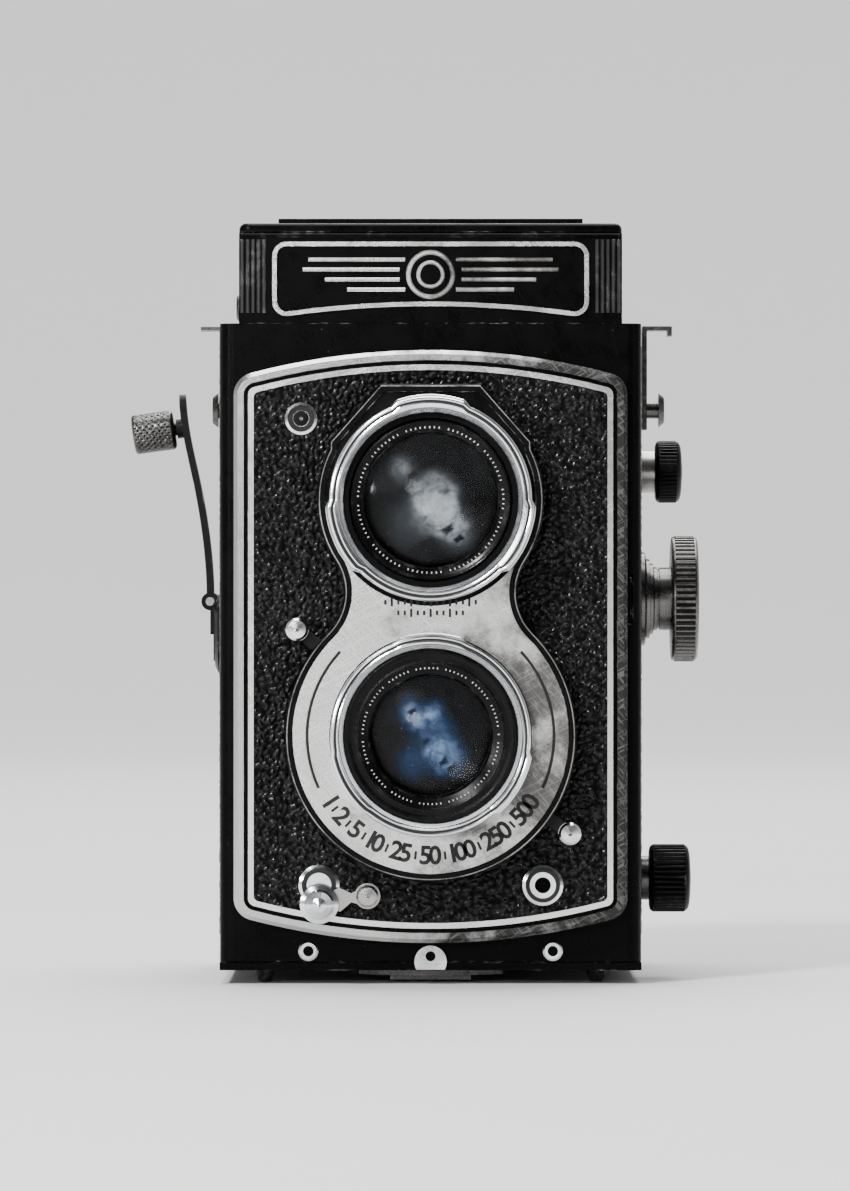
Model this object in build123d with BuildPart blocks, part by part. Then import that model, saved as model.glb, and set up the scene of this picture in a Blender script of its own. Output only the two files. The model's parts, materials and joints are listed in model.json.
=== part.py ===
"""Twin lens reflex camera for 6 x 6 cm roll film, as an assembly of separate pieces.

Millimetres.  +X is the focusing side, -X the crank side, -Y the front and +Z up.
The origin is the centre of the tripod bush's mouth, in the middle of the camera's underside.
"""

import os
from math import asin, atan2, cos, degrees, pi, radians, sin, sqrt

from build123d import *

os.makedirs("parts", exist_ok=True)

# ---------------------------------------------------------------- driving dimensions
# Body
HALF_WIDTH = 38.0
BODY_FRONT = -29.0
BODY_BACK = 36.0
BODY_BASE = 1.6
SHOULDER = 116.5
WALL_INSIDE = 33.6
POCKET_FLOOR = 36.6
GEAR_FLOOR = 34.6
COVER_Y = (-25.0, 33.0)
COVER_Z = (6.0, 113.0)

# Optical axes, both along Y
TAKING_Z = 42.5
VIEWING_Z = 84.5

# The mirror's plane is z = y + MIRROR_LINE
MIRROR_LINE = 84.0

# Front panel, which carries both lenses and slides forward to focus
PANEL_HALF = 35.3
PANEL_TOP = 111.5
PANEL_BOTTOM = 5.2
PANEL_ARC = 127.6
PANEL_CORNER = 4.0
PANEL_BACK = -29.3
PANEL_STEP = -30.6
PANEL_FACE = -34.0
RIM_FRONT = -34.9
RIM_WIDTH = 1.8
LEATHER_FACE = -34.6
FOCUS_TRAVEL = 6.5
FOCUS_TURN = 300.0

# Figure-of-eight lens housing
LOWER_LOBE = 26.0
UPPER_LOBE = 20.2
FLANK_X = 25.6
FLANK_Z = 68.1
FLANK_RADIUS = 10.2
HOUSING_WALL = 1.4
HOUSING_FRONT = -42.0
WEB_FRONT = -41.2
WEB_BACK = -40.2
FACE_PLATE_FRONT = -41.9

# Lens fronts
VIEWING_FRONT = -46.2
TAKING_FRONT = -47.0
FILTER_DEPTH = 2.0
VIEWING_BORE = 16.4
TAKING_BORE = 16.4

# Levers on the taking lens's axis
LEVER_HEAD_AT = 30.5
LEVER_SWING = 68.0
APERTURE_ANGLE = 141.6
SPEED_ANGLE = -35.2
HEAD_RADIUS = 2.0

# Release button, lock and fittings on the panel
BUTTON_X, BUTTON_Z = -19.9, 12.3
COLLAR_Z = 15.6
LOCK_X, LOCK_Z = -11.3, 13.7
SOCKET_X = 20.1
PANEL_SCREW_X, PANEL_SCREW_Z = -23.2, 99.2

# Crank side
CRANK_Y, CRANK_Z = 9.2, 60.7
FOLD_X, FOLD_Z = -40.8, 66.4
ARM_TIP_X, ARM_TIP_Z = -46.0, 105.0
HANDLE_X, HANDLE_Z = -45.5, 98.6
HANDLE_TILT = 8.0
RECESS_Z = 33.6

# Film transport
SPOOL_FLANGE = 12.5
SPOOL_CORE = 5.0
SPOOL_END = 32.9
TAKEUP_Y, TAKEUP_Z = 28.0, 90.8
SUPPLY_Y, SUPPLY_Z = -8.0, 15.8
ROLLER_Y = 33.5
ROLLER_RADIUS = 2.2
LOWER_ROLLER_Z = 9.5
UPPER_ROLLER_Z = 75.6
GEAR_MODULE = 0.5
CRANK_TEETH = 48
IDLER_TEETH = 27
TAKEUP_TEETH = 40
GEAR_X = (-36.3, -35.0)

# Focusing side
FOCUS_Y, FOCUS_Z = 2.0, 66.9
CAM_LOW = 5.5
CAM_X = (34.9, 36.1)
NOSE_RADIUS = 1.0
RUNNING_GAP = 0.06

# Viewing hood
HOOD_HALF = 34.5
HOOD_FRONT = -28.6
HOOD_BACK = 34.0
HOOD_TOP = 132.8
LID_BASE = 133.0
LID_TOP = 134.6
FLAP_Z = 122.5
FLAP_HINGE_X = 31.5
FLAP_HEIGHT = 27.0
BACK_FLAP_Y, BACK_FLAP_Z = 30.0, 121.6
FINDER_HINGE_Y, FINDER_HINGE_Z = 14.0, 133.8
MAGNIFIER_Y, MAGNIFIER_Z = 26.0, 131.4

# Back door, hinged at the top of the back
DOOR_BACK = 43.0
DOOR_FACE = 36.2
DOOR_TOP = 104.0
DOOR_SHEET = 1.4
DOOR_HINGE_Y, DOOR_HINGE_Z = 42.0, 105.6
FOOT_HEIGHT = 2.5
LATCH_Y = -20.5


# ---------------------------------------------------------------- shared shapes
def front_plane(y):
    """A plane facing forward at y, whose own x and y run along X and Z."""
    return Plane(origin=(0, y, 0), x_dir=(1, 0, 0), z_dir=(0, -1, 0))


def side_plane(x):
    """A plane facing +X at x, whose own x and y run along Y and Z."""
    return Plane(origin=(x, 0, 0), x_dir=(0, 1, 0), z_dir=(1, 0, 0))


def block(x, y, z, mode=Mode.ADD):
    """A box between the given limits."""
    with Locations(((x[0] + x[1]) / 2, (y[0] + y[1]) / 2, (z[0] + z[1]) / 2)):
        Box(x[1] - x[0], y[1] - y[0], z[1] - z[0], mode=mode)


def rod_y(x, z, radius, y, mode=Mode.ADD):
    """A round bar along Y between the limits of y."""
    with Locations(Location((x, (y[0] + y[1]) / 2, z), (90, 0, 0))):
        Cylinder(radius, abs(y[1] - y[0]), mode=mode)


def rod_x(y, z, radius, x, mode=Mode.ADD):
    """A round bar along X between the limits of x."""
    with Locations(Location(((x[0] + x[1]) / 2, y, z), (0, 90, 0))):
        Cylinder(radius, abs(x[1] - x[0]), mode=mode)


def rod_z(x, y, radius, z, mode=Mode.ADD):
    """A round bar along Z between the limits of z."""
    with Locations((x, y, (z[0] + z[1]) / 2)):
        Cylinder(radius, abs(z[1] - z[0]), mode=mode)


def turned_y(z, points, x=0.0, mode=Mode.ADD):
    """A piece turned about the axis along Y through (x, z), from (radius, y) points."""
    with BuildSketch(Plane(origin=(x, 0, z))) as profile:
        with BuildLine():
            Polyline(*points, close=True)
        make_face()
    revolve(profile.sketch, axis=Axis((x, 0, z), (0, 1, 0)), mode=mode)


def turned_x(y, z, points, mode=Mode.ADD):
    """A piece turned about the axis along X through (y, z), from (x, radius) points."""
    with BuildSketch(Plane(origin=(0, y, z), x_dir=(1, 0, 0), z_dir=(0, -1, 0))) as profile:
        with BuildLine():
            Polyline(*points, close=True)
        make_face()
    revolve(profile.sketch, axis=Axis((0, y, z), (1, 0, 0)), mode=mode)


def panel_face(inset, y):
    """The front panel's outline at y: straight sides, arched top and bottom, drawn in by inset."""
    half = PANEL_HALF - inset
    arc = PANEL_ARC - inset
    top_mid = PANEL_TOP - inset
    bottom_mid = PANEL_BOTTOM + inset
    sag = arc - sqrt(arc**2 - half**2)
    with BuildSketch(front_plane(y)) as face:
        with BuildLine():
            Line((-half, bottom_mid + sag), (-half, top_mid - sag))
            ThreePointArc((-half, top_mid - sag), (0, top_mid), (half, top_mid - sag))
            Line((half, top_mid - sag), (half, bottom_mid + sag))
            ThreePointArc((half, bottom_mid + sag), (0, bottom_mid), (-half, bottom_mid + sag))
        make_face()
        fillet(face.vertices(), max(PANEL_CORNER - inset, 1.0))
    return face.sketch


def housing_face(inset, y):
    """The figure-of-eight outline at y: two lobes, hollow flanks and a chamfered crown."""
    lower = LOWER_LOBE - inset
    upper = UPPER_LOBE - inset
    reach_low = sqrt(FLANK_X**2 + (FLANK_Z - TAKING_Z) ** 2)
    reach_up = sqrt(FLANK_X**2 + (VIEWING_Z - FLANK_Z) ** 2)
    low_x = FLANK_X / reach_low * lower
    low_z = TAKING_Z + (FLANK_Z - TAKING_Z) / reach_low * lower
    up_x = FLANK_X / reach_up * upper
    up_z = VIEWING_Z + (FLANK_Z - VIEWING_Z) / reach_up * upper
    crown = (upper + 0.5) / UPPER_LOBE
    crown_points = [(8.8, 20.2), (17.6, 10.2), (17.6, -2.0), (-17.6, -2.0), (-17.6, 10.2), (-8.8, 20.2)]
    with BuildSketch(front_plane(y)) as face:
        with Locations((0, TAKING_Z)):
            Circle(lower)
        with Locations((0, VIEWING_Z)):
            Circle(upper)
        with BuildLine():
            Polyline(*[(px * crown, VIEWING_Z + pz * crown) for px, pz in crown_points], close=True)
        make_face()
        with BuildLine():
            Polyline((low_x, low_z), (up_x, up_z), (-up_x, up_z), (-low_x, low_z), close=True)
        make_face()
        with Locations((FLANK_X, FLANK_Z), (-FLANK_X, FLANK_Z)):
            Circle(FLANK_RADIUS + inset, mode=Mode.SUBTRACT)
    return face.sketch


def sector(radius_in, radius_out, start, end, y, centre_z):
    """A ring sector facing forward, from the start angle to the end angle in degrees."""
    with BuildSketch(front_plane(y)) as face:
        with BuildLine():
            a, m, b = radians(start), radians((start + end) / 2), radians(end)
            outer = [(radius_out * cos(t), centre_z + radius_out * sin(t)) for t in (a, m, b)]
            inner = [(radius_in * cos(t), centre_z + radius_in * sin(t)) for t in (b, m, a)]
            ThreePointArc(*outer)
            Line(outer[2], inner[0])
            ThreePointArc(*inner)
            Line(inner[2], outer[0])
        make_face()
    return face.sketch


def gear_face(teeth, phase, y, z, x):
    """A spur gear's face, with one tooth centred on the phase angle in degrees."""
    pitch_radius = GEAR_MODULE * teeth / 2
    levels = [
        (pitch_radius - 1.2 * GEAR_MODULE, 0.46),
        (pitch_radius, 0.28),
        (pitch_radius + 0.8 * GEAR_MODULE, 0.14),
    ]
    points = []
    for tooth in range(teeth):
        middle = radians(phase) + 2 * pi * tooth / teeth
        for side in (-1, 1):
            for radius, half_tooth in levels[:: -side]:
                turn = middle + side * half_tooth / radius
                points.append((y + radius * cos(turn), z + radius * sin(turn)))
    with BuildSketch(side_plane(x)) as face:
        with BuildLine():
            Polyline(*points, close=True)
        make_face()
    return face.sketch


def save(piece, name):
    """Label a finished piece and write its STEP file."""
    piece.part.label = name
    export_step(piece.part, f"parts/{name}.step")


# ---------------------------------------------------------------- gear train places
TRAIN_ANGLE = atan2(TAKEUP_Z - CRANK_Z, TAKEUP_Y - CRANK_Y)
TRAIN_REACH = GEAR_MODULE * (CRANK_TEETH + IDLER_TEETH) / 2
IDLER_Y = CRANK_Y + TRAIN_REACH * cos(TRAIN_ANGLE)
IDLER_Z = CRANK_Z + TRAIN_REACH * sin(TRAIN_ANGLE)

# ---------------------------------------------------------------- body
with BuildPart() as body_casting:
    block((-HALF_WIDTH, HALF_WIDTH), (BODY_FRONT, BODY_BACK), (BODY_BASE, SHOULDER))
    upright = body_casting.edges().filter_by(Axis.Z).sort_by(Axis.Y)
    fillet(upright[:2], 2.5)
    block((-WALL_INSIDE, WALL_INSIDE), (-26.5, 33.6), (0.0, 114.6), mode=Mode.SUBTRACT)
    block((-WALL_INSIDE, WALL_INSIDE), (33.0, 37.0), (0.0, 104.3), mode=Mode.SUBTRACT)
    # window for the sliding light sleeve, and the opening under the focusing screen
    block((-31.0, 31.0), (-30.0, -26.0), (11.0, 107.0), mode=Mode.SUBTRACT)
    block((-28.5, 28.5), (-26.0, 28.0), (114.0, 117.0), mode=Mode.SUBTRACT)
    # shallow pockets for the side covers
    for side in (-1, 1):
        outer = sorted((side * POCKET_FLOOR, side * (HALF_WIDTH + 1)))
        block(outer, COVER_Y, COVER_Z, mode=Mode.SUBTRACT)
    # gear pocket on the crank side
    gear_pocket = (-POCKET_FLOOR - 1.0, -GEAR_FLOOR)
    rod_x(CRANK_Y, CRANK_Z, CRANK_TEETH * GEAR_MODULE / 2 + 1.0, gear_pocket, mode=Mode.SUBTRACT)
    rod_x(IDLER_Y, IDLER_Z, IDLER_TEETH * GEAR_MODULE / 2 + 1.0, gear_pocket, mode=Mode.SUBTRACT)
    rod_x(TAKEUP_Y, TAKEUP_Z, TAKEUP_TEETH * GEAR_MODULE / 2 + 1.0, gear_pocket, mode=Mode.SUBTRACT)
    rod_x(CRANK_Y, CRANK_Z, 2.05, (-37.0, -33.0), mode=Mode.SUBTRACT)
    rod_x(TAKEUP_Y, TAKEUP_Z, 2.55, (-37.0, -33.0), mode=Mode.SUBTRACT)
    rod_x(CRANK_Y, RECESS_Z, 5.45, (-39.0, -33.0), mode=Mode.SUBTRACT)
    rod_x(IDLER_Y, IDLER_Z, 1.45, (-36.4, -34.4))
    # cam pocket on the focusing side, with a slot forward for the panel's arm
    cam_pocket = (GEAR_FLOOR, POCKET_FLOOR + 1.0)
    rod_x(FOCUS_Y, FOCUS_Z, CAM_LOW + FOCUS_TRAVEL + 0.8, cam_pocket, mode=Mode.SUBTRACT)
    block(cam_pocket, (-24.9, FOCUS_Y), (62.4, 71.4), mode=Mode.SUBTRACT)
    block((GEAR_FLOOR, 36.4), (-30.0, -24.0), (62.4, 71.4), mode=Mode.SUBTRACT)
    rod_x(FOCUS_Y, FOCUS_Z, 2.55, (33.0, 37.0), mode=Mode.SUBTRACT)
    for knob_y, knob_z in ((TAKEUP_Y, TAKEUP_Z), (SUPPLY_Y, SUPPLY_Z)):
        rod_x(knob_y, knob_z, 4.05, (33.0, 39.0), mode=Mode.SUBTRACT)
    for roller_z in (LOWER_ROLLER_Z, UPPER_ROLLER_Z):
        rod_x(ROLLER_Y, roller_z, 0.85, (-34.4, 34.4), mode=Mode.SUBTRACT)
    # sloping ledges that the mirror lies under
    for ledge_x in (-WALL_INSIDE, 29.0):
        with BuildSketch(side_plane(ledge_x)) as ledge:
            with BuildLine():
                low = (-20.5, MIRROR_LINE - 20.45)
                high = (19.5, MIRROR_LINE + 19.55)
                Polyline(low, high, (high[0] - 0.8, high[1] + 0.8), (low[0] - 0.8, low[1] + 0.8), close=True)
            make_face()
        extrude(ledge.sketch, amount=WALL_INSIDE - 29.0)
    # cross bar that carries the tripod bush
    block((-WALL_INSIDE, WALL_INSIDE), (-9.0, 9.0), (BODY_BASE, 3.0))
    rod_z(0, 0, 5.6, (0.0, 5.0), mode=Mode.SUBTRACT)
save(body_casting, "body_casting")

COVER_FIT_Y = (COVER_Y[0] + 0.05, COVER_Y[1] - 0.05)
COVER_FIT_Z = (COVER_Z[0] + 0.05, COVER_Z[1] - 0.05)
with BuildPart() as left_side_cover:
    block((-HALF_WIDTH, -POCKET_FLOOR), COVER_FIT_Y, COVER_FIT_Z)
    rod_x(CRANK_Y, RECESS_Z, 5.4, (-HALF_WIDTH, -29.6))
    rod_x(CRANK_Y, RECESS_Z, 4.6, (-HALF_WIDTH - 1, -30.4), mode=Mode.SUBTRACT)
    rod_x(CRANK_Y, CRANK_Z, 3.1, (-39.0, -36.0), mode=Mode.SUBTRACT)
save(left_side_cover, "left_side_cover")

with BuildPart() as right_side_cover:
    block((POCKET_FLOOR, HALF_WIDTH), COVER_FIT_Y, COVER_FIT_Z)
    rod_x(FOCUS_Y, FOCUS_Z, 3.1, (36.0, 39.0), mode=Mode.SUBTRACT)
    for knob_y, knob_z in ((TAKEUP_Y, TAKEUP_Z), (SUPPLY_Y, SUPPLY_Z)):
        rod_x(knob_y, knob_z, 4.1, (36.0, 39.0), mode=Mode.SUBTRACT)
save(right_side_cover, "right_side_cover")

with BuildPart() as crank_escutcheon:
    dish = [(-38.02, 3.2), (-38.02, 19.6), (-38.2, 19.6), (-38.6, 15.0), (-38.7, 8.0), (-38.7, 3.2)]
    turned_x(CRANK_Y, CRANK_Z, dish)
save(crank_escutcheon, "crank_escutcheon")

with BuildPart() as tripod_bush:
    rod_z(0, 0, 5.55, (0.0, 4.6))
    rod_z(0, 0, 7.0, (3.02, 4.6))
    rod_z(0, 0, 3.97, (-1.0, 4.0), mode=Mode.SUBTRACT)
save(tripod_bush, "tripod_bush")

with BuildPart() as chin_fittings:
    # half-round catch plate, and an eyelet each side of it
    rod_y(0, 1.6, 2.9, (BODY_FRONT - 0.02, BODY_FRONT - 0.9))
    block((-4, 4), (BODY_FRONT - 2, BODY_FRONT), (-3.0, 0.2), mode=Mode.SUBTRACT)
    rod_y(0, 2.6, 0.9, (BODY_FRONT - 2, BODY_FRONT), mode=Mode.SUBTRACT)
    for side in (-1, 1):
        eyelet = [(0.95, -29.02), (1.8, -29.02), (1.8, -29.3), (1.5, -29.6), (0.95, -29.6)]
        turned_y(3.5, eyelet, x=side * 22.0)
save(chin_fittings, "chin_fittings")

with BuildPart() as strap_studs:
    for side, neck in ((-1, 39.1), (1, 42.0)):
        stud = [(38.02, 0), (38.02, 2.2), (38.3, 2.2), (38.3, 1.5), (neck, 1.5)]
        stud += [(neck, 3.2), (neck + 1.0, 2.4), (neck + 1.0, 0)]
        turned_x(0, 101.6, [(side * along, radius) for along, radius in stud])
save(strap_studs, "strap_studs")

with BuildPart() as strap_clips:
    # the long clip hangs on the focusing side's stud and ends in a hook
    block((39.0, 39.8), (-3.2, 3.2), (98.0, 117.0))
    block((39.0, 44.4), (-3.2, 3.2), (116.2, 117.0))
    block((43.6, 44.4), (-3.2, 3.2), (115.2, 117.0))
    rod_x(0, 101.6, 1.6, (38.5, 40.5), mode=Mode.SUBTRACT)
    # the short clip on the crank side
    block((-38.8, -38.02), (-3.2, 3.2), (107.0, 116.9))
    block((-42.2, -38.02), (-3.2, 3.2), (116.2, 116.9))
save(strap_clips, "strap_clips")

# ---------------------------------------------------------------- dark chamber, mirror and film gate
GATE_HALF = 28.5
THROAT_HALF = 17.0
THROAT_Y = 2.5
GATE_Y = 34.0


def pyramid(grow, mode=Mode.ADD):
    """The light box's tapering inside, grown by the sheet's thickness."""
    with BuildSketch(front_plane(THROAT_Y)) as throat:
        with Locations((0, TAKING_Z)):
            Rectangle(2 * (THROAT_HALF + grow), 2 * (THROAT_HALF + grow))
    with BuildSketch(front_plane(GATE_Y)) as gate:
        with Locations((0, TAKING_Z)):
            Rectangle(2 * (GATE_HALF + grow), 2 * (GATE_HALF + grow))
    loft([throat.sketch.face(), gate.sketch.face()], mode=mode)


with BuildPart() as light_box:
    pyramid(1.0)
    block((-33.0, 33.0), (GATE_Y, 35.4), (12.2, 72.8))
    pyramid(0.0, mode=Mode.SUBTRACT)
    gate_z = (TAKING_Z - GATE_HALF, TAKING_Z + GATE_HALF)
    block((-GATE_HALF, GATE_HALF), (GATE_Y - 0.01, 36.0), gate_z, mode=Mode.SUBTRACT)
save(light_box, "light_box")

with BuildPart() as reflex_mirror:
    with BuildSketch(side_plane(-30.5)) as mirror_edge:
        with BuildLine():
            silvered = [(-20, MIRROR_LINE - 20), (20, MIRROR_LINE + 20)]
            Polyline(*silvered, (20.8, MIRROR_LINE + 19.2), (-19.2, MIRROR_LINE - 20.8), close=True)
        make_face()
    extrude(amount=61.0)
save(reflex_mirror, "reflex_mirror")

with BuildPart() as focusing_screen:
    block((-30.0, 30.0), (-26.8, 29.0), (118.05, 119.8))
save(focusing_screen, "focusing_screen")

for roller_name, roller_z in (("lower_film_roller", LOWER_ROLLER_Z), ("upper_film_roller", UPPER_ROLLER_Z)):
    with BuildPart() as film_roller:
        rod_x(ROLLER_Y, roller_z, ROLLER_RADIUS, (-33.3, 33.3))
        rod_x(ROLLER_Y, roller_z, 0.8, (-34.3, 34.3))
    save(film_roller, roller_name)

# ---------------------------------------------------------------- film spools and winding gears
for spool_name, spool_y, spool_z in (
    ("takeup_spool", TAKEUP_Y, TAKEUP_Z),
    ("supply_spool", SUPPLY_Y, SUPPLY_Z),
):
    with BuildPart() as film_spool:
        rod_x(spool_y, spool_z, SPOOL_CORE, (-SPOOL_END, SPOOL_END))
        for end in (-1, 1):
            flange = sorted((end * (SPOOL_END - 1.2), end * SPOOL_END))
            rod_x(spool_y, spool_z, SPOOL_FLANGE, flange)
        rod_x(spool_y, spool_z, 3.1, (-34.0, 34.0), mode=Mode.SUBTRACT)
    save(film_spool, spool_name)

with BuildPart() as takeup_gear:
    takeup_phase = degrees(TRAIN_ANGLE) + 180.0 + 180.0 / TAKEUP_TEETH
    takeup_face = gear_face(TAKEUP_TEETH, takeup_phase, TAKEUP_Y, TAKEUP_Z, GEAR_X[0])
    extrude(takeup_face, amount=GEAR_X[1] - GEAR_X[0])
    rod_x(TAKEUP_Y, TAKEUP_Z, 2.5, (GEAR_X[1], -31.0))
save(takeup_gear, "takeup_gear")

with BuildPart() as idler_gear:
    idler_phase = degrees(TRAIN_ANGLE)
    idler_face = gear_face(IDLER_TEETH, idler_phase, IDLER_Y, IDLER_Z, GEAR_X[0])
    extrude(idler_face, amount=GEAR_X[1] - GEAR_X[0])
    rod_x(IDLER_Y, IDLER_Z, 1.5, (-37.0, -34.0), mode=Mode.SUBTRACT)
save(idler_gear, "idler_gear")

# ---------------------------------------------------------------- winding crank
with BuildPart() as crank_hub:
    crank_gear = gear_face(CRANK_TEETH, degrees(TRAIN_ANGLE), CRANK_Y, CRANK_Z, GEAR_X[0])
    extrude(crank_gear, amount=GEAR_X[1] - GEAR_X[0])
    rod_x(CRANK_Y, CRANK_Z, 2.0, (GEAR_X[1], -33.8))
    neck = [(GEAR_X[0], 0), (GEAR_X[0], 3.0), (-38.85, 3.0)]
    turned_x(CRANK_Y, CRANK_Z, neck + [(-39.0, 7.6), (-39.3, 7.6), (-39.9, 6.4), (-39.9, 0)])
    # bar from the fold pin's ears down to the ball end
    block((-40.2, -39.1), (CRANK_Y - 2.6, CRANK_Y + 2.6), (55.4, 64.0))
    with Locations((-40.2, CRANK_Y, 54.6)):
        Sphere(1.3)
    for ear_front in (CRANK_Y - 2.9, CRANK_Y + 4.1):
        with BuildSketch(front_plane(ear_front)) as ear:
            with Locations((FOLD_X + 0.05, FOLD_Z)):
                Circle(1.65)
            with Locations((-40.0, 63.4)):
                Rectangle(1.5, 6.2)
        extrude(ear.sketch, amount=1.2)
    block((-43.0, -38.5), (CRANK_Y - 2.9, CRANK_Y + 2.9), (64.4, 69.0), mode=Mode.SUBTRACT)
    rod_y(FOLD_X, FOLD_Z, 0.8, (CRANK_Y - 5, CRANK_Y + 5), mode=Mode.SUBTRACT)
save(crank_hub, "crank_hub")

with BuildPart() as crank_pin:
    rod_y(FOLD_X, FOLD_Z, 0.78, (CRANK_Y - 4.3, CRANK_Y + 4.3))
save(crank_pin, "crank_pin")

HANDLE_AXIS = Plane(
    origin=(HANDLE_X, CRANK_Y, HANDLE_Z),
    x_dir=(0, 1, 0),
    z_dir=(-cos(radians(HANDLE_TILT)), 0, -sin(radians(HANDLE_TILT))),
)
ARM_LINE = [(FOLD_X, FOLD_Z), (-41.3, 76.0), (-43.2, 88.0), (-45.4, HANDLE_Z), (ARM_TIP_X, ARM_TIP_Z)]
ARM_HALF = 0.65
with BuildPart() as crank_arm:
    with BuildSketch(front_plane(CRANK_Y + 2.75)) as arm_edge:
        with BuildLine():
            inner_line = [(px + ARM_HALF, pz) for px, pz in ARM_LINE]
            outer_line = [(px - ARM_HALF, pz) for px, pz in ARM_LINE[::-1]]
            Spline(*inner_line)
            Line(inner_line[-1], outer_line[0])
            Spline(*outer_line)
            Line(outer_line[-1], inner_line[0])
        make_face()
    extrude(arm_edge.sketch, amount=5.5)
    # the arm tapers to a round tip
    for side in (-1, 1):
        with BuildSketch(side_plane(-50.0)) as arm_side:
            with BuildLine():
                foot = (CRANK_Y + side * 2.8, FOLD_Z - 2.0)
                shoulder = (CRANK_Y + side * 1.9, ARM_TIP_Z - 3.4)
                bend = (CRANK_Y + side * 1.4, ARM_TIP_Z - 1.2)
                Line(foot, shoulder)
                ThreePointArc(shoulder, bend, (CRANK_Y, ARM_TIP_Z - 0.2))
                beyond = CRANK_Y + side * 6.0
                Polyline((CRANK_Y, ARM_TIP_Z - 0.2), (CRANK_Y, 110.0), (beyond, 110.0), (beyond, foot[1]), foot)
            make_face()
        extrude(arm_side.sketch, amount=14.0, mode=Mode.SUBTRACT)
    rod_y(FOLD_X, FOLD_Z, 1.5, (CRANK_Y - 2.75, CRANK_Y + 2.75))
    rod_y(FOLD_X, FOLD_Z, 0.82, (CRANK_Y - 5, CRANK_Y + 5), mode=Mode.SUBTRACT)
    with BuildSketch(HANDLE_AXIS.offset(0.2)) as collar:
        Circle(1.8)
    extrude(collar.sketch, amount=1.4)
    with BuildSketch(HANDLE_AXIS.offset(1.0)) as stud:
        Circle(1.2)
    extrude(stud.sketch, amount=8.4)
save(crank_arm, "crank_arm")

HANDLE_LENGTH = 7.9
with BuildPart() as crank_handle:
    with BuildSketch(HANDLE_AXIS.offset(1.9)) as grip:
        Circle(3.65)
    extrude(grip.sketch, amount=HANDLE_LENGTH)
    chamfer(crank_handle.edges().filter_by(GeomType.CIRCLE), 0.4)
    with BuildSketch(HANDLE_AXIS.offset(1.9)) as grip_bore:
        Circle(1.27)
    extrude(grip_bore.sketch, amount=HANDLE_LENGTH - 0.3, mode=Mode.SUBTRACT)
save(crank_handle, "crank_handle")

# ---------------------------------------------------------------- spool knobs
for knob_name, knob_y, knob_z, cap_start, cap_end, cap_radius in (
    ("upper", TAKEUP_Y, TAKEUP_Z, 42.3, 47.5, 5.85),
    ("lower", SUPPLY_Y, SUPPLY_Z, 40.0, 47.7, 6.2),
):
    with BuildPart() as knob_sleeve:
        turned_x(knob_y, knob_z, [(33.7, 2.9), (33.7, 4.0), (cap_start - 0.15, 4.0), (cap_start - 0.15, 2.9)])
    save(knob_sleeve, f"{knob_name}_knob_sleeve")
    with BuildPart() as spool_knob:
        edge = cap_radius - 0.7
        cap = [(cap_start, 0), (cap_start, edge), (cap_start + 0.7, cap_radius), (cap_end - 1.3, cap_radius)]
        turned_x(knob_y, knob_z, cap + [(cap_end - 0.4, cap_radius - 0.8), (cap_end, 0)])
        rod_x(knob_y, knob_z, 2.8, (30.5, cap_start + 1.0))
    save(spool_knob, f"{knob_name}_spool_knob")

# ---------------------------------------------------------------- focusing knob and its cam
with BuildPart() as focus_knob:
    hub = [(38.3, 0), (38.3, 8.6), (39.6, 8.6), (39.8, 7.4), (41.6, 5.8), (44.4, 5.8), (44.4, 11.2)]
    turned_x(FOCUS_Y, FOCUS_Z, hub + [(44.8, 11.6), (48.6, 11.6), (49.2, 10.8), (49.2, 0)])
save(focus_knob, "focus_knob")

with BuildPart() as focus_cam:
    cam_turn = radians(FOCUS_TURN)
    cam_points = []
    for step in range(61):
        swept = cam_turn * step / 60
        radius = CAM_LOW + FOCUS_TRAVEL * step / 60
        cam_points.append((FOCUS_Y + radius * cos(pi - swept), FOCUS_Z + radius * sin(pi - swept)))
    # the cam's outline closes through a throat beyond its highest point
    throat_turn = pi - cam_turn - 0.4
    throat_y = FOCUS_Y + 3.0 * cos(throat_turn)
    throat_z = FOCUS_Z + 3.0 * sin(throat_turn)
    with BuildSketch(side_plane(CAM_X[0])) as cam_edge:
        with BuildLine():
            Spline(*cam_points)
            Polyline(cam_points[-1], (throat_y, throat_z), (FOCUS_Y - 5.0, FOCUS_Z - 2.0), cam_points[0])
        make_face()
    extrude(cam_edge.sketch, amount=CAM_X[1] - CAM_X[0])
    rod_x(FOCUS_Y, FOCUS_Z, 2.5, (33.8, CAM_X[0] + 0.5))
    rod_x(FOCUS_Y, FOCUS_Z, 3.0, (CAM_X[0], 38.25))
save(focus_cam, "focus_cam")

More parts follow.
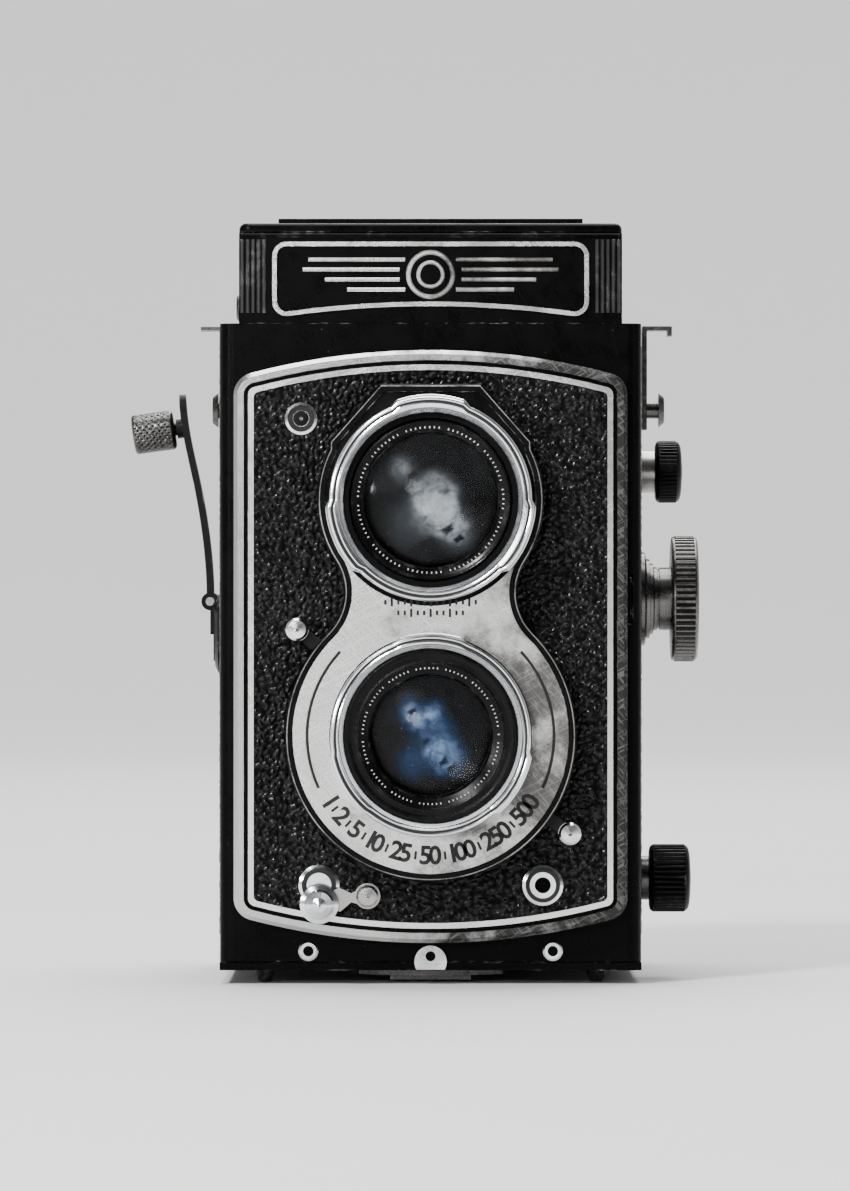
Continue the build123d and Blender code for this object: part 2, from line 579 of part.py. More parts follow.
# ---------------------------------------------------------------- front standard and panel
with BuildPart() as front_standard:
    extrude(panel_face(0.0, PANEL_BACK), amount=PANEL_BACK - PANEL_STEP)
    extrude(panel_face(RIM_WIDTH, PANEL_STEP), amount=PANEL_STEP - PANEL_FACE)
    block((-30.4, 30.4), (PANEL_BACK, -21.5), (12.0, 106.0))
    block((-29.2, 29.2), (-28.4, -21.0), (13.2, 104.8), mode=Mode.SUBTRACT)
    rod_y(0, TAKING_Z, 15.9, (-20.0, -36.0), mode=Mode.SUBTRACT)
    rod_y(0, VIEWING_Z, 14.2, (-20.0, -36.0), mode=Mode.SUBTRACT)
    rod_y(BUTTON_X, BUTTON_Z, 1.7, (-31.4, -35.0), mode=Mode.SUBTRACT)
    rod_y(SOCKET_X, COLLAR_Z, 1.45, (-31.0, -35.0), mode=Mode.SUBTRACT)
    # the arm that follows the focusing cam
    nose_y = FOCUS_Y - CAM_LOW - RUNNING_GAP - NOSE_RADIUS
    block((34.0, CAM_X[1]), (PANEL_STEP, PANEL_BACK), (63.0, 70.8))
    block(CAM_X, (PANEL_STEP, nose_y), (64.4, 69.4))
    block(CAM_X, (-12.0, FOCUS_Y), (67.9, 72.0), mode=Mode.SUBTRACT)
    block(CAM_X, (-12.0, FOCUS_Y), (60.0, 65.9), mode=Mode.SUBTRACT)
    rod_x(nose_y, FOCUS_Z, NOSE_RADIUS, CAM_X)
save(front_standard, "front_standard")

with BuildPart() as panel_rim:
    extrude(panel_face(0.0, PANEL_STEP), amount=PANEL_STEP - RIM_FRONT)
    front_edge = panel_rim.faces().sort_by(Axis.Y)[0].edges()
    chamfer(front_edge, 0.7)
    extrude(panel_face(RIM_WIDTH, PANEL_STEP), amount=PANEL_STEP - RIM_FRONT, mode=Mode.SUBTRACT)
save(panel_rim, "panel_rim")

TRIM_OUT = 2.6
TRIM_IN = 3.6
with BuildPart() as panel_trim:
    extrude(panel_face(TRIM_OUT, PANEL_FACE), amount=1.1)
    extrude(panel_face(TRIM_IN, PANEL_FACE), amount=1.1, mode=Mode.SUBTRACT)
save(panel_trim, "panel_trim")

with BuildPart() as front_leather:
    extrude(panel_face(TRIM_IN, PANEL_FACE), amount=PANEL_FACE - LEATHER_FACE)
    extrude(housing_face(-0.03, PANEL_FACE), amount=2.0, mode=Mode.SUBTRACT)
    for hole_x, hole_z, radius in (
        (-20.0, COLLAR_Z, 3.65),
        (SOCKET_X, COLLAR_Z, 3.65),
        (PANEL_SCREW_X, PANEL_SCREW_Z, 2.9),
        (BUTTON_X, BUTTON_Z, 1.7),
        (LOCK_X, LOCK_Z, 1.0),
    ):
        rod_y(hole_x, hole_z, radius, (-33.0, -36.0), mode=Mode.SUBTRACT)
save(front_leather, "front_leather")

with BuildPart() as panel_collars:
    # round plate behind the release button
    button_ring = [(0, -34.0), (3.65, -34.0), (3.65, -35.0), (3.1, -35.2), (2.9, -34.9), (0, -34.9)]
    turned_y(COLLAR_Z, button_ring, x=-20.0)
    rod_y(BUTTON_X, BUTTON_Z, 1.7, (-33.0, -36.0), mode=Mode.SUBTRACT)
    # accessory socket
    socket_ring = [(1.45, -34.0), (3.65, -34.0), (3.65, -35.4), (3.1, -35.6), (3.0, -35.0), (2.5, -35.0)]
    turned_y(COLLAR_Z, socket_ring + [(2.5, -35.5), (1.45, -35.5)], x=SOCKET_X)
    # ring with a sunk screw
    screw_ring = [(0, -34.0), (2.9, -34.0), (2.9, -35.0), (2.4, -35.1), (2.2, -34.6), (1.5, -34.6)]
    turned_y(PANEL_SCREW_Z, screw_ring + [(1.5, -34.9), (0, -34.9)], x=PANEL_SCREW_X)
save(panel_collars, "panel_collars")

with BuildPart() as lens_housing:
    extrude(housing_face(0.0, PANEL_FACE), amount=PANEL_FACE - HOUSING_FRONT)
    chamfer(lens_housing.faces().sort_by(Axis.Y)[0].edges(), 0.4)
    extrude(housing_face(HOUSING_WALL, PANEL_FACE), amount=PANEL_FACE - WEB_BACK, mode=Mode.SUBTRACT)
    extrude(housing_face(HOUSING_WALL, WEB_FRONT), amount=3.0, mode=Mode.SUBTRACT)
    rod_y(0, TAKING_Z, 15.95, (-34.0, -43.0), mode=Mode.SUBTRACT)
    rod_y(0, VIEWING_Z, 14.55, (-34.0, -43.0), mode=Mode.SUBTRACT)
    # slots in the sides for the two levers
    for start, end, back, front in (
        (APERTURE_ANGLE - 4.0, APERTURE_ANGLE + LEVER_SWING + 4.0, -35.0, -36.1),
        (SPEED_ANGLE - 4.0, SPEED_ANGLE + LEVER_SWING + 4.0, -36.1, -37.2),
    ):
        extrude(sector(23.0, 27.5, start, end, back, TAKING_Z), amount=back - front, mode=Mode.SUBTRACT)
save(lens_housing, "lens_housing")

with BuildPart() as face_plate:
    extrude(housing_face(HOUSING_WALL + 0.02, WEB_FRONT), amount=WEB_FRONT - FACE_PLATE_FRONT)
    block((-30, 30), (-43, -40), (75.0, 110.0), mode=Mode.SUBTRACT)
    rod_y(0, VIEWING_Z, 18.85, (-40.0, -43.0), mode=Mode.SUBTRACT)
    rod_y(0, TAKING_Z, 18.05, (-40.0, -43.0), mode=Mode.SUBTRACT)
    for start, end in ((-25.0, 43.0), (137.0, 205.0)):
        extrude(sector(21.6, 22.4, start, end, -41.55, TAKING_Z), amount=1.0, mode=Mode.SUBTRACT)
save(face_plate, "face_plate")


# ---------------------------------------------------------------- lenses
def bayonet(centre_z, bore, base, front, foot_front, foot_bore, lug_angles, lug_span):
    """A stepped bayonet ring with lugs on its outside, open for a push-in filter."""
    seat = front + FILTER_DEPTH
    outside = [(foot_bore, WEB_FRONT), (base, WEB_FRONT), (base, front)]
    turned_y(centre_z, outside + [(bore, front), (bore, seat), (foot_bore, seat)])
    for angle in lug_angles:
        start, end = angle - lug_span / 2, angle + lug_span / 2
        lug = sector(base - 0.3, base + 0.75, start, end, foot_front, centre_z)
        extrude(lug, amount=foot_front - front - 0.5)


with BuildPart() as viewing_bayonet:
    bayonet(VIEWING_Z, VIEWING_BORE, 18.0, VIEWING_FRONT, -42.4, 14.6, (90, 203, 337), 42)
save(viewing_bayonet, "viewing_bayonet")

with BuildPart() as taking_bayonet:
    bayonet(TAKING_Z, TAKING_BORE, 17.6, TAKING_FRONT, -42.4, 15.92, (90, 210, 330), 40)
save(taking_bayonet, "taking_bayonet")

with BuildPart() as viewing_barrel:
    barrel = [(12.0, -28.0), (14.15, -28.0), (14.15, -34.2), (14.5, -34.2), (14.5, -43.6), (14.1, -43.9)]
    turned_y(VIEWING_Z, barrel + [(12.3, -43.1), (12.0, -42.6)])
save(viewing_barrel, "viewing_barrel")

with BuildPart() as taking_barrel:
    barrel = [(10.7, -26.0), (15.85, -26.0), (15.85, -44.6), (15.5, -44.9), (13.0, -44.9), (12.9, -44.4)]
    turned_y(TAKING_Z, barrel + [(11.0, -43.6), (10.7, -43.2)])
save(taking_barrel, "taking_barrel")


def dome(radius, rim_y, bulge):
    """Three points of a spherical cap's arc, from the axis to the rim, bulging by bulge along Y."""
    ball = (radius**2 + bulge**2) / (2 * abs(bulge))
    half_turn = asin(radius / ball) / 2
    sign = 1 if bulge > 0 else -1
    apex = rim_y + bulge
    return (0, apex), (ball * sin(half_turn), apex - sign * ball * (1 - cos(half_turn))), (radius, rim_y)


def lens_element(centre_z, radius, back_y, front_y, back_bulge, front_bulge):
    """A lens with spherical faces, turned about the optical axis."""
    front_arc = dome(radius, front_y, -front_bulge)
    back_arc = dome(radius, back_y, back_bulge)
    with BuildSketch(Plane(origin=(0, 0, centre_z))) as profile:
        with BuildLine():
            ThreePointArc(*front_arc)
            Line(front_arc[2], back_arc[2])
            ThreePointArc(*back_arc[::-1])
            Line(back_arc[0], front_arc[0])
        make_face()
    revolve(profile.sketch, axis=Axis((0, 0, centre_z), (0, 1, 0)))


with BuildPart() as viewing_glass:
    lens_element(VIEWING_Z, 11.95, -38.2, -41.4, 1.2, 2.3)
    lens_element(VIEWING_Z, 11.95, -30.0, -32.4, 1.6, 0.8)
save(viewing_glass, "viewing_glass")

with BuildPart() as taking_glass:
    lens_element(TAKING_Z, 10.65, -39.4, -42.2, 0.6, 1.9)
    lens_element(TAKING_Z, 10.65, -27.6, -30.4, 1.4, 0.6)
save(taking_glass, "taking_glass")

# the shutter's closed leaves lie behind the front element, one sector each, in a ring
with BuildPart() as shutter_unit:
    turned_y(TAKING_Z, [(8.6, -34.0), (10.65, -34.0), (10.65, -36.0), (8.6, -36.0)])
    for leaf in range(5):
        leaf_angle = 72.0 * leaf
        leaf_back = -34.6 - 0.22 * leaf
        extrude(sector(0.4, 8.7, leaf_angle, leaf_angle + 75.0, leaf_back, TAKING_Z), amount=0.2)
save(shutter_unit, "shutter_unit")


# ---------------------------------------------------------------- levers, release button and its lock
def lever(head_angle, back, front):
    """A ring about the taking lens with an arm out through the housing to a round head."""
    turned_y(TAKING_Z, [(16.9, back), (20.5, back), (20.5, front), (16.9, front)])
    arm = sector(20.0, LEVER_HEAD_AT, head_angle - 2.4, head_angle + 2.4, back, TAKING_Z)
    extrude(arm, amount=back - front)
    head_x = LEVER_HEAD_AT * cos(radians(head_angle))
    head_z = TAKING_Z + LEVER_HEAD_AT * sin(radians(head_angle))
    neck_top = -37.4
    rod_y(head_x, head_z, 1.5, (back, neck_top))
    head = [(0, neck_top), (HEAD_RADIUS, neck_top), (HEAD_RADIUS, -38.4)]
    turned_y(head_z, head + [(HEAD_RADIUS - 0.4, -38.8), (0, -38.9)], x=head_x)


with BuildPart() as aperture_lever:
    lever(APERTURE_ANGLE, -35.2, -35.9)
save(aperture_lever, "aperture_lever")

with BuildPart() as speed_lever:
    lever(SPEED_ANGLE, -36.3, -37.0)
save(speed_lever, "speed_lever")

with BuildPart() as release_button:
    stem = [(0, -33.0), (1.6, -33.0), (1.6, -38.0), (3.45, -38.0), (3.45, -38.8)]
    turned_y(BUTTON_Z, stem + [(2.7, -39.1), (2.3, -40.2), (1.3, -41.0), (0, -41.2)], x=BUTTON_X)
save(release_button, "release_button")

with BuildPart() as release_lock:
    rod_y(LOCK_X, LOCK_Z, 2.3, (-35.4, -36.2))
    with BuildSketch(front_plane(-35.4)) as lock_plate:
        with BuildLine():
            upper_edge = [(-11.3, 15.6), (-14.2, 14.2), (-16.4, 15.2), (-17.6, 14.6)]
            lower_edge = [(-17.6, 11.6), (-16.2, 10.9), (-14.2, 12.6), (-11.3, 11.8)]
            Polyline(*upper_edge, *lower_edge, close=True)
        make_face()
    extrude(lock_plate.sketch, amount=0.8)
    pivot = [(0, -34.1), (0.9, -34.1), (0.9, -36.2), (2.0, -36.2), (2.0, -37.4), (1.6, -37.8), (0, -37.9)]
    turned_y(LOCK_Z, pivot, x=LOCK_X)
save(release_lock, "release_lock")

# ---------------------------------------------------------------- viewing hood
with BuildPart() as hood_base:
    block((-HOOD_HALF, HOOD_HALF), (HOOD_FRONT, HOOD_BACK), (116.55, HOOD_TOP))
    block((-32.9, 32.9), (-27.0, 32.4), (118.0, 134.0), mode=Mode.SUBTRACT)
    block((-28.5, 28.5), (-26.0, 28.0), (116.0, 119.0), mode=Mode.SUBTRACT)
    rod_x(25.0, 121.5, 1.25, (-35.0, -32.0), mode=Mode.SUBTRACT)
save(hood_base, "hood_base")

with BuildPart() as nameplate_frame:
    with BuildSketch(front_plane(HOOD_FRONT - 0.02)) as outer_frame:
        with BuildLine():
            Line((-28.5, 117.4), (-28.5, 131.2))
            Line((-28.5, 131.2), (28.5, 131.2))
            Line((28.5, 131.2), (28.5, 117.4))
            ThreePointArc((28.5, 117.4), (0, 119.6), (-28.5, 117.4))
        make_face()
        fillet(outer_frame.vertices(), 2.6)
        offset(amount=-0.8, mode=Mode.SUBTRACT)
    extrude(outer_frame.sketch, amount=0.5)
save(nameplate_frame, "nameplate_frame")

FINDER_HALF = 12.0
FINDER_LENGTH = 24.0
with BuildPart() as hood_lid:
    block((-HOOD_HALF, HOOD_HALF), (HOOD_FRONT, HOOD_BACK), (LID_BASE, LID_TOP))
    fillet(hood_lid.edges().filter_by(Axis.Z), 2.0)
    fillet(hood_lid.faces().sort_by(Axis.Z)[-1].edges(), 1.2)
    block((-27.5, 27.5), (-24.0, 28.0), (LID_TOP - 0.2, 135.6))
    # the leather lies in a shallow pocket round the finder's opening
    block((-26.5, 26.5), (-23.0, 27.0), (135.2, 136.0), mode=Mode.SUBTRACT)
    block((-13.4, 13.4), (-11.4, 15.6), (135.1, 135.6))
    block((-12.4, 12.4), (-10.4, 14.6), (132.0, 136.0), mode=Mode.SUBTRACT)
    rod_x(FINDER_HINGE_Y, FINDER_HINGE_Z, 0.45, (-13.6, 13.6), mode=Mode.SUBTRACT)
    for side in (-1, 1):
        ear = sorted((side * 10.6, side * 12.0))
        block(ear, (MAGNIFIER_Y - 1.0, MAGNIFIER_Y + 1.0), (MAGNIFIER_Z - 0.9, LID_BASE))
    rod_x(MAGNIFIER_Y, MAGNIFIER_Z, 0.5, (-12.1, 12.1), mode=Mode.SUBTRACT)
save(hood_lid, "hood_lid")

with BuildPart() as finder_flap:
    block((-FINDER_HALF, FINDER_HALF), (FINDER_HINGE_Y - FINDER_LENGTH, FINDER_HINGE_Y), (133.2, 134.4))
    block((-8.0, 8.0), (-6.0, 9.0), (134.2, 135.0))
    rod_x(FINDER_HINGE_Y, FINDER_HINGE_Z, 0.4, (-13.4, 13.4))
save(finder_flap, "finder_flap")

with BuildPart() as magnifier:
    block((-10.2, 10.2), (MAGNIFIER_Y - 23.5, MAGNIFIER_Y), (MAGNIFIER_Z - 0.6, MAGNIFIER_Z + 0.6))
    rod_z(0, MAGNIFIER_Y - 12.5, 9.4, (MAGNIFIER_Z - 1.2, MAGNIFIER_Z + 0.9))
    rod_z(0, MAGNIFIER_Y - 12.5, 8.4, (129.0, 134.0), mode=Mode.SUBTRACT)
    rod_x(MAGNIFIER_Y, MAGNIFIER_Z, 0.45, (-12.0, 12.0))
save(magnifier, "magnifier")

with BuildPart() as magnifier_lens:
    rod_z(0, MAGNIFIER_Y - 12.5, 8.35, (MAGNIFIER_Z - 0.9, MAGNIFIER_Z + 0.7))
save(magnifier_lens, "magnifier_lens")

for flap_name, side in (("left_hood_flap", -1), ("right_hood_flap", 1)):
    with BuildPart() as side_flap:
        with BuildSketch(Plane.XY.offset(FLAP_Z - 0.4)) as flap_face:
            with BuildLine():
                hinge = side * FLAP_HINGE_X
                cut = side * (FLAP_HINGE_X - 13.0)
                tip = side * (FLAP_HINGE_X - FLAP_HEIGHT)
                Polyline((hinge, -25.0), (cut, -25.0), (tip, -16.5), (tip, 19.0), (hinge, 19.0), close=True)
            make_face()
        extrude(flap_face.sketch, amount=0.8)
        with Locations(Location((side * FLAP_HINGE_X, -3.0, FLAP_Z), (90, 0, 0))):
            Cylinder(0.8, 44.0)
    save(side_flap, flap_name)

with BuildPart() as back_hood_flap:
    block((-30.5, 30.5), (20.0, BACK_FLAP_Y), (BACK_FLAP_Z - 0.4, BACK_FLAP_Z + 0.4))
    rod_x(BACK_FLAP_Y, BACK_FLAP_Z, 0.8, (-30.5, 30.5))
save(back_hood_flap, "back_hood_flap")

with BuildPart() as hood_button:
    rod_x(25.0, 121.5, 1.2, (-35.5, -33.1))
    turned_x(25.0, 121.5, [(-36.4, 0), (-36.4, 2.1), (-36.0, 2.5), (-35.4, 2.5), (-35.4, 0)])
save(hood_button, "hood_button")

# ---------------------------------------------------------------- back door
with BuildPart() as back_door:
    block((-HALF_WIDTH, HALF_WIDTH), (DOOR_FACE, DOOR_BACK), (0.0, DOOR_TOP))
    fillet(back_door.edges().filter_by(Axis.Z).sort_by(Axis.Y)[-2:], 2.2)
    inner = HALF_WIDTH - DOOR_SHEET
    hollow_z = (DOOR_SHEET, DOOR_TOP - DOOR_SHEET)
    block((-inner, inner), (DOOR_FACE - 1, DOOR_BACK - DOOR_SHEET), hollow_z, mode=Mode.SUBTRACT)
    block((-HALF_WIDTH, HALF_WIDTH), (BODY_FRONT + 0.4, DOOR_FACE + 1), (0.0, DOOR_SHEET))
    # the tripod bush shows through a slot that lets it pass as the door swings
    rod_z(0, 0, 7.3, (-1.0, 2.0), mode=Mode.SUBTRACT)
    block((-7.3, 7.3), (-7.0, 0.0), (-1.0, 2.0), mode=Mode.SUBTRACT)
    rod_z(0, -7.0, 7.3, (-1.0, 2.0), mode=Mode.SUBTRACT)
    rod_z(0, LATCH_Y, 1.45, (-1.0, 2.0), mode=Mode.SUBTRACT)
    # the leather lies in a shallow pocket
    block((-34.0, 34.0), (DOOR_BACK - 0.5, DOOR_BACK + 1.0), (4.0, 96.0), mode=Mode.SUBTRACT)
    # hinge knuckle along the top
    block((-14.0, 14.0), (DOOR_HINGE_Y - 0.9, DOOR_HINGE_Y + 0.9), (DOOR_TOP - 0.5, DOOR_HINGE_Z))
    rod_x(DOOR_HINGE_Y, DOOR_HINGE_Z, 1.5, (-14.0, 14.0))
    rod_x(DOOR_HINGE_Y, DOOR_HINGE_Z, 0.85, (-16.0, 16.0), mode=Mode.SUBTRACT)
save(back_door, "back_door")

with BuildPart() as door_hinge:
    for side in (-1, 1):
        lug = sorted((side * 14.3, side * 24.0))
        block(lug, (BODY_BACK + 0.02, DOOR_HINGE_Y), (DOOR_HINGE_Z - 0.9, DOOR_HINGE_Z + 1.5))
        rod_x(DOOR_HINGE_Y, DOOR_HINGE_Z, 1.5, lug)
    rod_x(DOOR_HINGE_Y, DOOR_HINGE_Z, 0.8, (-20.0, 20.0))
save(door_hinge, "door_hinge")

with BuildPart() as pressure_plate:
    block((-30.5, 30.5), (36.6, 37.4), (13.0, 72.0))
    for post_x in (-16.0, 16.0):
        for post_z in (28.0, 57.0):
            rod_y(post_x, post_z, 2.0, (37.4, DOOR_BACK - DOOR_SHEET))
save(pressure_plate, "pressure_plate")

with BuildPart() as door_feet:
    for foot_x in (-30.0, 30.0):
        for foot_y in (-20.0, 32.0):
            with Locations((foot_x, foot_y, -FOOT_HEIGHT / 2)):
                Cone(1.2, 1.9, FOOT_HEIGHT)
save(door_feet, "door_feet")

with BuildPart() as door_latch:
    with BuildSketch(Plane.XY.offset(-1.1)) as latch_face:
        with BuildLine():
            ThreePointArc((-13.0, LATCH_Y), (0, LATCH_Y - 4.6), (13.0, LATCH_Y))
            ThreePointArc((13.0, LATCH_Y), (0, LATCH_Y + 4.6), (-13.0, LATCH_Y))
        make_face()
    extrude(latch_face.sketch, amount=1.05)
    block((-7.3, 7.3), (LATCH_Y - 2.0, LATCH_Y + 2.0), (-2.0, -1.0))
    rod_z(0, LATCH_Y, 1.4, (-1.0, 1.2))
save(door_latch, "door_latch")
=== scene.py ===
"""Looks of the twin lens reflex camera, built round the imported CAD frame."""

import json
from math import cos, degrees, hypot, pi, radians, sin

import bpy
import numpy as np
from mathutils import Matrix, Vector


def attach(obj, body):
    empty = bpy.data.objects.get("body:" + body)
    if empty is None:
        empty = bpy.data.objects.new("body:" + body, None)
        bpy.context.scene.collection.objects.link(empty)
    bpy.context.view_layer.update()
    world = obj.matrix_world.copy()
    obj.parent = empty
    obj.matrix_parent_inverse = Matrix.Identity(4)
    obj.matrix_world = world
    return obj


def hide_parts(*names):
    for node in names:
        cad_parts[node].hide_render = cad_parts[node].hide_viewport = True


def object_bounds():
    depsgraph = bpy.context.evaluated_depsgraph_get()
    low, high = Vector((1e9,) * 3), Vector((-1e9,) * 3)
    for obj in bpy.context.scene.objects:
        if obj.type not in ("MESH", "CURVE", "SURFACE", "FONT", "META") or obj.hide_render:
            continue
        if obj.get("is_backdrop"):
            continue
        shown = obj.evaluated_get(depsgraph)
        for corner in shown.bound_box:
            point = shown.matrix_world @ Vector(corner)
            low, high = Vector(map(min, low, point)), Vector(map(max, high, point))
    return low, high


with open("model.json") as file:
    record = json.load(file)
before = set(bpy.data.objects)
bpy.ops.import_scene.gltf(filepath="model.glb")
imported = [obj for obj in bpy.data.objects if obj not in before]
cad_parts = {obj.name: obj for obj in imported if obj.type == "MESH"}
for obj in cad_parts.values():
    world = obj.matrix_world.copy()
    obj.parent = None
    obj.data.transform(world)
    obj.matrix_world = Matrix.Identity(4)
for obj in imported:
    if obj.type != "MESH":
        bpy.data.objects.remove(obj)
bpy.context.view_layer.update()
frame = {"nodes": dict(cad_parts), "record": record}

MM = 0.001
NODES = frame["nodes"]

# Places on the object, in millimetres, in the CAD frame
TAKING_Z, VIEWING_Z = 42.5, 84.5
CRANK_Y, RECESS_Z = 9.2, 33.6
FOCUS_Y, FOCUS_Z = 2.0, 66.9
UPPER_KNOB = (28.0, 90.8)
LOWER_KNOB = (-8.0, 15.8)
LEVER_REACH, APERTURE_AT, SPEED_AT = 30.5, 141.6, -35.2

# Faces that pieces lie on: y of the front ones and the door, x of the sides, z of the lid and the floor
LEATHER_Y, PLATE_Y, HOUSING_Y, HOOD_Y, DOOR_Y = -34.6, -41.9, -42.0, -28.5, 42.5
SIDE_X, LID_Z, FLOOR_Z = 38.0, 135.2, -2.5

# Dark bars in the painted lens reflection: their turn, and how much slimmer than long they are
BAR_TURN, BAR_SLIM = radians(35.0), 1.7
# Distance across the front over which the lean, painted shade added to the tarnish towards +X, gains its full
# share
SHADE_LEAN_WIDTH = 30.0


# ---------------------------------------------------------------- material nodes
class Looks:
    """A node material under construction, with short calls for the nodes it needs."""

    def __init__(self, material):
        self.material = material
        self.tree = material.node_tree
        self.shader = self.tree.nodes["Principled BSDF"]
        self.place = self.add("ShaderNodeTexCoord").outputs["Object"]

    @classmethod
    def new(cls, name, **sockets):
        """Starts a material, with constants for some of its shader's sockets."""
        material = bpy.data.materials.new(name)
        material.use_nodes = True
        look = cls(material)
        for label, value in sockets.items():
            look.shader.inputs[label.replace("_", " ")].default_value = value
        return look

    def add(self, kind, links=(), **settings):
        made = self.tree.nodes.new(kind)
        for label, value in settings.items():
            setattr(made, label, value)
        for socket, value in links:
            self.join(value, made.inputs[socket])
        return made

    def join(self, value, socket):
        if isinstance(value, bpy.types.NodeSocket):
            self.tree.links.new(value, socket)
        else:
            socket.default_value = value

    def noise(self, size_mm, detail=4.0, rough=0.55, place=None, distortion=0.0):
        links = [("Vector", place or self.place), ("Scale", 1 / (size_mm * MM)), ("Detail", detail)]
        links += [("Roughness", rough), ("Distortion", distortion)]
        return self.add("ShaderNodeTexNoise", links).outputs["Fac"]

    def cells(self, size_mm, feature="F1", place=None):
        links = [("Vector", place or self.place), ("Scale", 1 / (size_mm * MM))]
        return self.add("ShaderNodeTexVoronoi", links, feature=feature).outputs["Distance"]

    def step(self, value, low, high, out_low=0.0, out_high=1.0):
        links = [("Value", value), ("From Min", low), ("From Max", high)]
        links += [("To Min", out_low), ("To Max", out_high)]
        return self.add("ShaderNodeMapRange", links, interpolation_type="SMOOTHSTEP").outputs["Result"]

    def math(self, operation, first, second=0.0):
        return self.add("ShaderNodeMath", [(0, first), (1, second)], operation=operation).outputs[0]

    def vector(self, operation, first, second):
        return self.add("ShaderNodeVectorMath", [(0, first), (1, second)], operation=operation).outputs[0]

    def length(self, vector):
        return self.add("ShaderNodeVectorMath", [(0, vector)], operation="LENGTH").outputs["Value"]

    def split(self, vector):
        return self.add("ShaderNodeSeparateXYZ", [(0, vector)]).outputs

    def spun(self, vector, angle):
        """The vector turned about Y."""
        links = [("Vector", vector), ("Angle", angle)]
        return self.add("ShaderNodeVectorRotate", links, rotation_type="Y_AXIS").outputs[0]

    def flat_offset(self, x, z):
        """Offset in XZ of the shaded point from a place in millimetres."""
        offset = self.vector("SUBTRACT", self.place, (x * MM, 0.0, z * MM))
        return self.vector("MULTIPLY", offset, (1.0, 0.0, 1.0))

    def mix(self, share, first, second):
        return self.add("ShaderNodeMix", [(0, share), (6, first), (7, second)], data_type="RGBA").outputs[2]

    def between(self, share, first, second):
        return self.add("ShaderNodeMix", [(0, share), (2, first), (3, second)], data_type="FLOAT").outputs[0]

    def edges(self, radius_mm):
        """Near 1 where the surface bends sharply within the radius."""
        bevel = self.add("ShaderNodeBevel", samples=6)
        bevel.inputs["Radius"].default_value = radius_mm * MM
        flat = self.add("ShaderNodeNewGeometry").outputs["Normal"]
        dot = self.add("ShaderNodeVectorMath", [(0, bevel.outputs[0]), (1, flat)], operation="DOT_PRODUCT")
        return self.step(self.math("SUBTRACT", 1.0, dot.outputs["Value"]), 0.02, 0.16)

    def bump(self, height, depth_mm, strength=1.0, under=None):
        links = [("Height", height), ("Distance", depth_mm * MM), ("Strength", strength)]
        if under is not None:
            links.append(("Normal", under))
        return self.add("ShaderNodeBump", links).outputs["Normal"]

    def finish(self, colour=None, roughness=None, normal=None, metallic=None):
        given = {"Base Color": colour, "Roughness": roughness, "Normal": normal, "Metallic": metallic}
        for label, value in given.items():
            if value is not None:
                self.join(value, self.shader.inputs[label])
        return self.material

    def lay_over(self, share, label, value):
        """Blends a value over what a shader socket already gets."""
        socket = self.shader.inputs[label]
        before = socket.links[0].from_socket if socket.links else socket.default_value
        blend = self.mix if label == "Base Color" else self.between
        self.join(blend(share, before, value), socket)


def grey(value, warm=0.0):
    return (value * (1 + warm), value, value * (1 - warm), 1.0)


def scratches(look, size_mm, turn, thin=0.035):
    """Thin straight scratches running one way."""
    drawn = look.vector("MULTIPLY", look.spun(look.place, turn), (1.0, 1.0, 0.045))
    field = look.noise(size_mm, 2.0, 0.5, drawn)
    return look.step(look.math("ABSOLUTE", look.math("SUBTRACT", field, 0.5)), 0.0, thin, 1.0, 0.0)


def enamel(name, base, gloss, wear, specular=0.5, edge=0.3):
    """Black stoving enamel, dusty, with the metal showing on rubbed edges."""
    look = Looks.new(name, Specular_IOR_Level=specular)
    patches = look.noise(5.0, 5.0, 0.6)
    fine = look.noise(0.5, 3.0, 0.6)
    middle = look.math("MULTIPLY", look.noise(1.3, 3.0, 0.6), 0.6)
    chips = look.math("ADD", look.math("ADD", patches, middle), look.math("MULTIPLY", fine, 0.3))
    chips = look.step(chips, 0.98, 1.14)
    rubbed = look.math("MULTIPLY", look.edges(edge), chips)
    bare = look.math("MULTIPLY", rubbed, wear)
    specks = look.step(look.cells(2.6), 0.0, 0.07, 1.0, 0.0)
    dust = look.math("MULTIPLY", look.math("MULTIPLY", specks, look.step(patches, 0.5, 0.6)), 0.25)
    colour = look.mix(look.step(patches, 0.3, 0.7), grey(base), grey(base * 1.7, 0.02))
    colour = look.mix(dust, colour, grey(0.22, 0.04))
    colour = look.mix(bare, colour, grey(0.42, 0.02))
    marks = look.math("MULTIPLY", scratches(look, 1.6, 0.5, 0.02), 0.12)
    roughness = look.math("ADD", look.step(patches, 0.25, 0.75, gloss, gloss + 0.16), marks)
    normal = look.bump(look.noise(0.22, 2.0, 0.5), 0.006, 0.6)
    normal = look.bump(patches, 0.05, 0.35, normal)
    return look.finish(colour, roughness, normal, bare)


